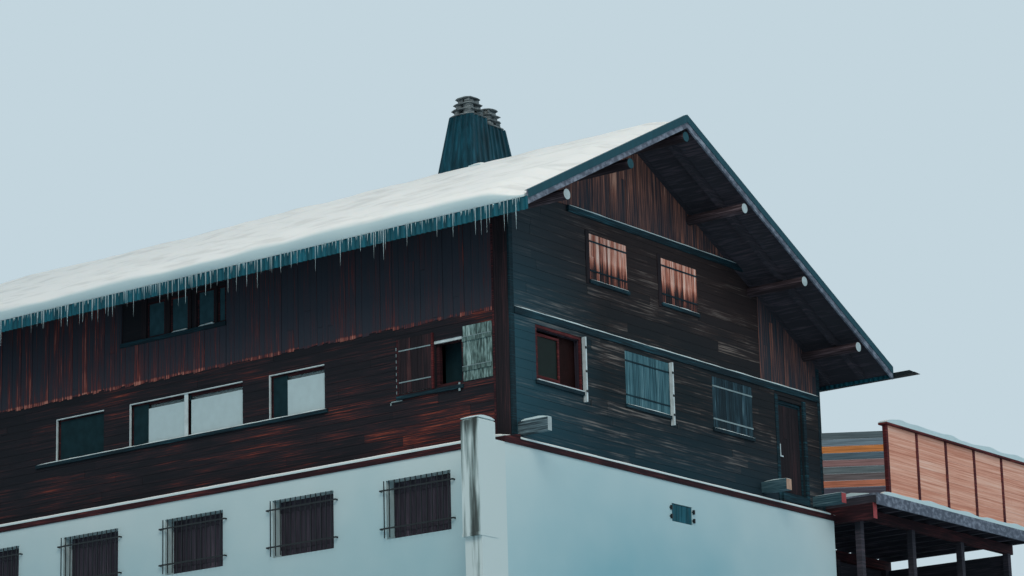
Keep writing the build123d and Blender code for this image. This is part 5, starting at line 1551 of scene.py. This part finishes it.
class CHALET_OT_gable_shutters(bpy.types.Operator):
    """Boards the closed leaves of the gables and fits straps, sashes and hooks"""

    bl_idname = "chalet.gable_shutters"
    bl_label = "Gable shutters"

    def execute(self, context):
        for wall, name in ((FRONT, "front"), (BACK, "back")):
            draw = draw_for(f"{name}_shutters")
            straps, teal, posts = [], [], []
            for number, span in enumerate(UPPER_WINDOWS):
                area = opening(span, UPPER_HEIGHTS, -LEAF_PLAY)
                beside, along = (span[0] - 0.13, span[0] - 0.01), (area[1] - 0.10, area[3] + 0.06)
                posts.append(wall.box(beside, along, (0.0, 0.038)))
                leaf(f"{name}_upper_leaf_{number}", wall, area, GABLE_LEAF,
                     "sunlit_shutter", "shutter_brown", draw, 0.085)
                teal += battens("upper", wall, area)
            for number, span in enumerate(GABLE_WINDOWS[1:] if wall is FRONT else GABLE_WINDOWS):
                area = opening(span, GABLE_HEIGHTS, -LEAF_PLAY)
                pale = wall is FRONT and number == 0
                key = "teal_shutter" if pale else "dark_shutter"
                leaf(f"{name}_lower_leaf_{number}", wall, area, GABLE_LEAF, key, "shutter_pale", draw, 0.12)
                (teal if pale else straps).extend(battens("lower", wall, area))
            boxes(f"{name}_leaf_straps", "pale_iron", straps)
            boxes(f"{name}_leaf_battens", "teal_trim", teal)
            boxes(f"{name}_upper_posts", "plum_boards", posts)
        self.open_window()
        self.hooks()
        return {"FINISHED"}

    def open_window(self):
        """The open gable window: a red-brown frame and a sash that stands ajar inside."""
        (start, end), (low, high) = GABLE_WINDOWS[0], GABLE_HEIGHTS
        sash = (start + 0.16, start + 0.92)
        around = ring_boxes(FRONT, (start, end), GABLE_HEIGHTS, 0.055, (-0.06, 0.012))
        around += ring_boxes(FRONT, sash, (low + 0.10, high - 0.12), 0.050, (-0.13, -0.09))
        boxes("open_window_frame", "red_stain", around)
        # The sash's pane is painted green-black as the shade of the room behind it
        pane = FRONT.box((sash[0] + 0.05, sash[1] - 0.05), (low + 0.15, high - 0.17), (-0.122, -0.114))
        inner = FRONT.box((sash[1], end + 0.06), (low - 0.05, high + 0.05), (-0.16, -0.135))
        # A dark sheet deep in the opening paints the shade of the unlit room behind it
        room = FRONT.box((start - 0.1, end + 0.1), (low - 0.1, high + 0.1), (-0.60, -0.59))
        sill = FRONT.box((start, end), (low, low + 0.018), (-0.02, 0.074))
        for name, key, box, slot in (
            ("sash_pane", "green_pane", pane, "glass"),
            ("inner_leaf", "plum", inner, "shutter_brown"),
            ("room_behind_window", "curtain", room, "shutter_brown"),
            ("pale_sill_edge", "white_paint", sill, "frame_paint"),
        ):
            boxes(name, key, [box])

    def hooks(self):
        """Hooks and stays on the folded leaves."""
        irons = []
        for _, end in GABLE_WINDOWS[:2]:
            for height in HOOK_HEIGHTS:
                irons.append(FRONT.box((end + 0.006, end + 0.054), (height, height + 0.045), (0.100, 0.116)))
            for out, foot in STAYS:
                irons.append(FRONT.box((end + out, end + 0.27), (foot, STAY_TOP), (0.022, 0.040)))
        boxes("leaf_hooks", "iron", irons)


# The vent in the base's front: its slats along the wall, their heights over the sill, and its hooks
VENT_START = 5.06
VENT_PITCH = 0.18
VENT_SLAT = 0.165
VENT_HEIGHTS = (-0.98, -0.63)
HOOKS_X = (4.985, 5.79)
HOOKS_Z = (-0.90, -0.72)


class CHALET_OT_base_windows(bpy.types.Operator):
    """Boards the base shutters and fits the vent's plate and hooks"""

    bl_idname = "chalet.base_windows"
    bl_label = "Base windows"

    def execute(self, context):
        draw = draw_for("base_windows")
        low, high = BASE_HEIGHTS
        bars = []
        for wall, name, spans in (
            (BASE_SIDE, "left", BASE_WINDOWS), (BASE_RIGHT_SIDE, "right", BASE_WINDOWS[1:]),
        ):
            shapes = []
            for start, end in spans:
                middle = (start + end) / 2
                for left, right in ((start, middle - LEAF_PLAY), (middle + LEAF_PLAY, end)):
                    half = (left, low, right, high)
                    shapes += outlines(upright_boards(half, 0.13, draw, gap=LEAF_GAP))
                bars += battens("base", wall, (start, low, end, high))
            lay(f"{name}_base_leaves", wall, shapes, "brown_shutter", "shutter_brown",
                thick=0.012, uneven=0.003, proud=BASE_LEAF)
        boxes("base_leaf_battens", "brown_shutter", bars)
        self.vent()
        return {"FINISHED"}

    def vent(self):
        """The slats of the vent, and four hooks beside it."""
        front = BASE_LOW.y
        low, high = [SILL + height for height in VENT_HEIGHTS]
        starts = [VENT_START + VENT_PITCH * number for number in range(4)]
        slats = [((x, front + 0.018, low), (x + VENT_SLAT, front + 0.038, high)) for x in starts]
        boxes("vent_plate", "eave_band", slats)
        irons = []
        for x in HOOKS_X:
            for z in [SILL + height for height in HOOKS_Z]:
                irons.append(((x, front - 0.04, z - 0.045), (x + 0.035, front + 0.001, z + 0.045)))
                irons.append(((x - 0.03, front - 0.02, z - 0.012), (x + 0.065, front + 0.001, z + 0.012)))
        boxes("vent_hooks", "iron", irons)


# Doors: widths of their trim, the foot, and where leaf and handle stand in the wall
DOOR_JAMB = 0.065
DOOR_HEAD = 0.095
TERRACE_DOOR_FOOT = 0.365
DOOR_LEAF = -0.080
HANDLE = (-0.064, -0.030)


class CHALET_OT_doors(bpy.types.Operator):
    """Boards the upper door and the terrace door"""

    bl_idname = "chalet.doors"
    bl_label = "Doors"

    def execute(self, context):
        draw = draw_for("doors")
        for name, wall, span, foot in (
            ("upper_door_boards", FRONT, DOOR, DOOR_HEIGHTS[0] + DOOR_JAMB),
            ("terrace_door_boards", RIGHT, TERRACE_DOOR, TERRACE_DOOR_FOOT),
        ):
            area = (span[0] + DOOR_JAMB, foot, span[1] - DOOR_JAMB, DOOR_HEIGHTS[1] - DOOR_HEAD)
            leaf(name, wall, area, DOOR_LEAF, "plum_boards", "shutter_brown", draw, 0.13, 0.016)
        metal = [
            FRONT.box((DOOR[0] + 0.15, DOOR[0] + 0.18), (1.02, 1.30), (-0.064, -0.050)),
            FRONT.box((DOOR[0] + 0.10, DOOR[0] + 0.24), (1.02, 1.045), HANDLE),
            RIGHT.box((TERRACE_DOOR[1] - 0.24, TERRACE_DOOR[1] - 0.10), (1.20, 1.225), HANDLE),
        ]
        boxes("door_latches", "white_paint", metal)
        return {"FINISHED"}


# Terrace
SCREEN_BAYS = 5
SCREEN_POST = 0.09
SCREEN_BOARD = 0.165
SCREEN_LENGTH = 30
DECK_BOARD = 0.14
DECK_LENGTH = 3.5
DECK_GAP = 0.004


class CHALET_OT_terrace(bpy.types.Operator):
    """Lays the boards of the screen and of the deck"""

    bl_idname = "chalet.terrace"
    bl_label = "Terrace"

    def execute(self, context):
        draw = draw_for("terrace")
        low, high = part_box("screen_panels")
        posts = [SCREEN_PITCH * number for number in range(1, SCREEN_BAYS + 1)]
        holes = [(post - SCREEN_POST, -1, post, high.z) for post in posts]
        area = (0, 0, high.x - low.x, high.z - low.z)
        for name, y, out in (("front", low.y, -1), ("back", high.y, 1)):
            face = Wall((low.x, y, low.z), (1, 0, 0), (0, out, 0))
            boards = courses(area, holes, SCREEN_BOARD, SCREEN_LENGTH, draw)
            lay(f"{name}_screen_boards", face, outlines(boards), "new_larch", "new_larch",
                thick=0.012, uneven=0.003)
        low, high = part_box("terrace_deck")
        floor = (low.y + DECK_GAP, low.x + DECK_GAP, high.y - DECK_GAP, high.x - DECK_GAP)
        points, faces = [], []
        for shape in outlines(courses(floor, [], DECK_BOARD, DECK_LENGTH, draw)):
            faces.append([len(points) + corner for corner in (3, 2, 1, 0)])
            points += [(across, along, high.z - 0.006) for along, across in shape]
        grown("deck_boards", mesh_of("deck", points, faces), boards_tree, "silver_larch", "grey_larch",
              Thickness=0.010, Unevenness=0.003, Seed=sizes().seed)
        return {"FINISHED"}


# Log ends
PURLIN_RADIUS = 0.105
# A sawn end's edge: how far out each ring of the disc lies, and its radius
DISC = ((0.0, 0.1045), (0.004, 0.1035), (0.007, 0.098))
DISC_CORNERS = 24
SIDE_BEAM_WIDTH = 0.160
SIDE_BEAM_DEPTH = 0.340


class CHALET_OT_log_ends(bpy.types.Operator):
    """Pale sawn ends on the purlins and the beams, and dark teal painted shade on the purlin ends in the
    roof's shade
    """

    bl_idname = "chalet.log_ends"
    bl_label = "Log ends"

    def execute(self, context):
        low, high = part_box("purlins")
        pale, shaded = [], []
        for y, sign in ((low.y, -1), (high.y, 1)):
            for x in PURLINS:
                # Ends in the roof's shade get a dark teal copy of the end grain: painted shade
                (shaded if x in SHADED_PURLINS else pale).append(self.disc(x, y, sign))
        joined("purlin_end_grain", pale, "end_grain")
        joined("shaded_purlin_ends", shaded, "teal_end")
        for number, (x, width, out, (low, high), _, key) in enumerate(BEAM_ENDS):
            span = (x - width / 2 + 0.002, x + width / 2 - 0.002)
            face = FRONT.box(span, (low + 0.002, high - 0.002), (out, out + 0.005))
            boxes(f"beam_end_grain_{number}", key, [face])
        low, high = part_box("terrace_beams")
        face = (
            (low.x + 0.003, low.y - 0.004, high.z - SIDE_BEAM_DEPTH),
            (low.x + SIDE_BEAM_WIDTH - 0.003, low.y, high.z),
        )
        boxes("side_beam_end", "red_end", [face])
        return {"FINISHED"}

    def disc(self, x, y, sign):
        """The sawn end of the purlin at x, whose top touches the rafters."""
        z = roof_top(x, PURLIN_DROP) - PURLIN_RADIUS * math.sqrt(1 + ROOF_FALL ** 2)
        angles = [number * 2 * math.pi / DISC_CORNERS for number in range(DISC_CORNERS)]
        return swept("disc", [
            [(x + radius * math.cos(angle), y + sign * out, z + radius * math.sin(angle)) for angle in angles]
            for out, radius in DISC
        ])


# Finishes of the frame's own solids
NODE_FINISHES = {
    "render": ("base_wall_front", "base_wall_left", "base_wall_right", "base_wall_back"),
    "stained_render": ("wing_pier",),
    "concrete": ("ground_floor",),
    "stained": ("ledge_boards", "terrace_beams", "side_window_frames"),
    "red_stain": ("screen_frame",),
    "burnt_planks": (
        "side_wall_left_lower", "side_wall_right", "side_wall_left_upper", "side_wall_right_upper",
    ),
    "slate_planks": ("gable_front_lower", "gable_front_upper", "gable_back", "gable_back_upper"),
    "dark_larch": (
        "first_floor", "attic_floor", "rafters", "roof_deck",
        "terrace_posts", "terrace_boarding", "terrace_joists",
    ),
    "log": ("purlins",),
    "grey_larch": ("beam_ends",),
    "silver_larch": ("barge_boards", "terrace_deck", "terrace_fascia"),
    "enamel": ("barge_flashing",),
    "gutter": ("gutter",),
    "glass": ("side_window_glass",),
    "teal_trim": ("window_sills", "belt_boards", "corner_boards", "door_step", "upper_door", "terrace_door"),
    "pale_shutter": ("side_shutters",),
    "brown_shutter": ("base_shutters", "gable_window_frames"),
    "iron": ("base_grilles",),
    "teal_shutter": ("gable_shutters",),
    "white_paint": ("folded_shutters",),
    "new_larch": ("screen_panels",),
    "mixed_planks": ("plank_fence",),
}


class CHALET_OT_finishes(bpy.types.Operator):
    """Gives each solid of the frame its finish"""

    bl_idname = "chalet.finishes"
    bl_label = "Finishes"

    def execute(self, context):
        for key, names in NODE_FINISHES.items():
            for name in names:
                coated(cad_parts[name], key)
        return {"FINISHED"}


# The floor's size and level, and the distances from the house's middle over which it fades
FLOOR_REACH = 200
FLOOR_LEVEL = -0.01
FADE_MIDDLE = (8.6, 8.5, 0.0)
FADE = (14.0, 46.0)
# Lamps: place, power, side of the square and colour; both point at the house
LAMPS = (
    ("key", (-30, -22, 34), 9500, 22, "#FFF4E6"),
    ("fill", (30, -38, 22), 3200, 26, "#DCEBF5"),
)
LIT = Vector((5, 6, 5))
# The sky's light, and how far the camera sees
SKY = "#D3E6EE"
SKY_STRENGTH = 0.62
SIGHT = 500


class CHALET_OT_stage(bpy.types.Operator):
    """Sets the floor, the light, the background and the photograph's camera"""

    bl_idname = "chalet.stage"
    bl_label = "Stage"

    def execute(self, context):
        scene = context.scene
        scene.view_settings.view_transform = "Standard"
        self.floor()
        self.world(scene)
        self.lamps()
        self.camera(scene)
        return {"FINISHED"}

    def floor(self):
        """A pale floor that fades into the background, and shows from above only.

        A camera below the house sees past it.
        """
        corners = [(x, y, FLOOR_LEVEL) for x, y in (
            (-FLOOR_REACH, -FLOOR_REACH), (FLOOR_REACH, -FLOOR_REACH), (FLOOR_REACH, FLOOR_REACH),
            (-FLOOR_REACH, FLOOR_REACH),
        )]
        ground = link("floor", mesh_of("floor", corners, [(0, 1, 2, 3)]))
        pale = (*colours().backdrop, 1)
        made, tree = new_material("pale_floor", {"Base Color": pale, "Roughness": 0.9})
        place = add(tree, "ShaderNodeTexCoord").outputs["Object"]
        distance = add(tree, "ShaderNodeVectorMath", {0: place, 1: FADE_MIDDLE}, operation="DISTANCE")
        away = add(tree, "ShaderNodeMapRange", {
            "Value": distance.outputs["Value"],
            "From Min": FADE[0], "From Max": FADE[1], "To Min": 0.0, "To Max": 1.0,
        }, interpolation_type="SMOOTHSTEP")
        seen = add(tree, "ShaderNodeLightPath").outputs["Is Camera Ray"]
        share = add(tree, "ShaderNodeMath", {0: away.outputs[0], 1: seen}, operation="MULTIPLY").outputs[0]
        glow = add(tree, "ShaderNodeEmission", {"Color": pale, "Strength": 1.0}).outputs[0]
        matt = tree.nodes["Principled BSDF"].outputs[0]
        faded = add(tree, "ShaderNodeMixShader", {0: share, 1: matt, 2: glow}).outputs[0]
        under = add(tree, "ShaderNodeNewGeometry").outputs["Backfacing"]
        clear = add(tree, "ShaderNodeBsdfTransparent").outputs[0]
        mix = add(tree, "ShaderNodeMixShader", {0: under, 1: faded, 2: clear})
        tree.links.new(mix.outputs[0], tree.nodes["Material Output"].inputs["Surface"])
        ground.data.materials.append(made)

    def world(self, scene):
        """Soft light from the whole sky, with a plain pale background behind the house."""
        world = bpy.data.worlds.new("studio")
        scene.world = world
        world.use_nodes = True
        tree = world.node_tree
        tree.nodes.clear()
        rays = add(tree, "ShaderNodeLightPath").outputs
        seen = rays["Is Camera Ray"]
        for name in ("Is Glossy Ray", "Is Transmission Ray"):
            seen = add(tree, "ShaderNodeMath", {0: seen, 1: rays[name]}, operation="MAXIMUM").outputs[0]
        plain_back = add(tree, "ShaderNodeBackground", {"Color": (*colours().backdrop, 1), "Strength": 1.0})
        light = add(tree, "ShaderNodeBackground", {"Color": (*linear(SKY), 1), "Strength": SKY_STRENGTH})
        mix = add(tree, "ShaderNodeMixShader", {0: seen, 1: light.outputs[0], 2: plain_back.outputs[0]})
        out = add(tree, "ShaderNodeOutputWorld")
        tree.links.new(mix.outputs[0], out.inputs["Surface"])

    def lamps(self):
        for name, place, power, side, colour in LAMPS:
            lamp = bpy.data.lights.new(name, "AREA")
            lamp.energy = power
            lamp.size = side
            lamp.color = linear(colour)
            holder = bpy.data.objects.new(name, lamp)
            holder.location = place
            holder.rotation_euler = (LIT - Vector(place)).to_track_quat("-Z", "Y").to_euler()
            bpy.context.scene.collection.objects.link(holder)

    def camera(self, scene):
        """The photograph's camera, turned by its yaw, pitch and roll."""
        yaw, pitch, roll = CAMERA_YAW, CAMERA_PITCH, CAMERA_ROLL
        ahead = Vector((math.sin(yaw) * math.cos(pitch), math.cos(yaw) * math.cos(pitch), math.sin(pitch)))
        right = Vector((math.cos(yaw), -math.sin(yaw), 0))
        up = right.cross(ahead)
        turned_right = right * math.cos(roll) + up * math.sin(roll)
        turned_up = up * math.cos(roll) - right * math.sin(roll)
        lens = bpy.data.cameras.new("photo_camera")
        lens.sensor_width = SENSOR_WIDTH
        lens.lens = FOCAL_PIXELS * SENSOR_WIDTH / PHOTO_WIDTH
        lens.clip_end = SIGHT
        camera = bpy.data.objects.new("photo_camera", lens)
        axes = Matrix((turned_right, turned_up, -ahead)).transposed()
        camera.matrix_world = Matrix.Translation(CAMERA_PLACE) @ axes.to_4x4()
        scene.collection.objects.link(camera)
        scene.camera = camera


OPERATORS = (
    CHALET_OT_finishes, CHALET_OT_side_walls, CHALET_OT_gable_walls, CHALET_OT_roof_snow,
    CHALET_OT_roof_metal, CHALET_OT_icicles, CHALET_OT_chimney, CHALET_OT_drifts, CHALET_OT_windows,
    CHALET_OT_side_shutters, CHALET_OT_gable_shutters, CHALET_OT_base_windows, CHALET_OT_doors,
    CHALET_OT_terrace, CHALET_OT_log_ends, CHALET_OT_stage,
)


class CHALET_PT_panel(bpy.types.Panel):
    """Lists the steps that dress the chalet"""

    bl_idname = "CHALET_PT_panel"
    bl_label = "Alpine Chalet"
    bl_space_type = "VIEW_3D"
    bl_region_type = "UI"
    bl_category = "Chalet"

    def draw(self, context):
        for group in (context.scene.chalet_sizes, context.scene.chalet_colours):
            column = self.layout.column(align=True)
            for name in group.bl_rna.properties.keys():
                if name not in ("rna_type", "name"):
                    column.prop(group, name)
        for operator in OPERATORS:
            self.layout.operator(operator.bl_idname)


CLASSES = (ChaletSizes, ChaletColours, *OPERATORS, CHALET_PT_panel)


def register():
    for each in CLASSES:
        bpy.utils.register_class(each)
    bpy.types.Scene.chalet_sizes = PointerProperty(type=ChaletSizes)
    bpy.types.Scene.chalet_colours = PointerProperty(type=ChaletColours)


def unregister():
    del bpy.types.Scene.chalet_colours
    del bpy.types.Scene.chalet_sizes
    for each in reversed(CLASSES):
        bpy.utils.unregister_class(each)


def main():
    register()
    for operator in OPERATORS:
        group, name = operator.bl_idname.split(".")
        getattr(getattr(bpy.ops, group), name)()


if __name__ == "__main__":
    main()
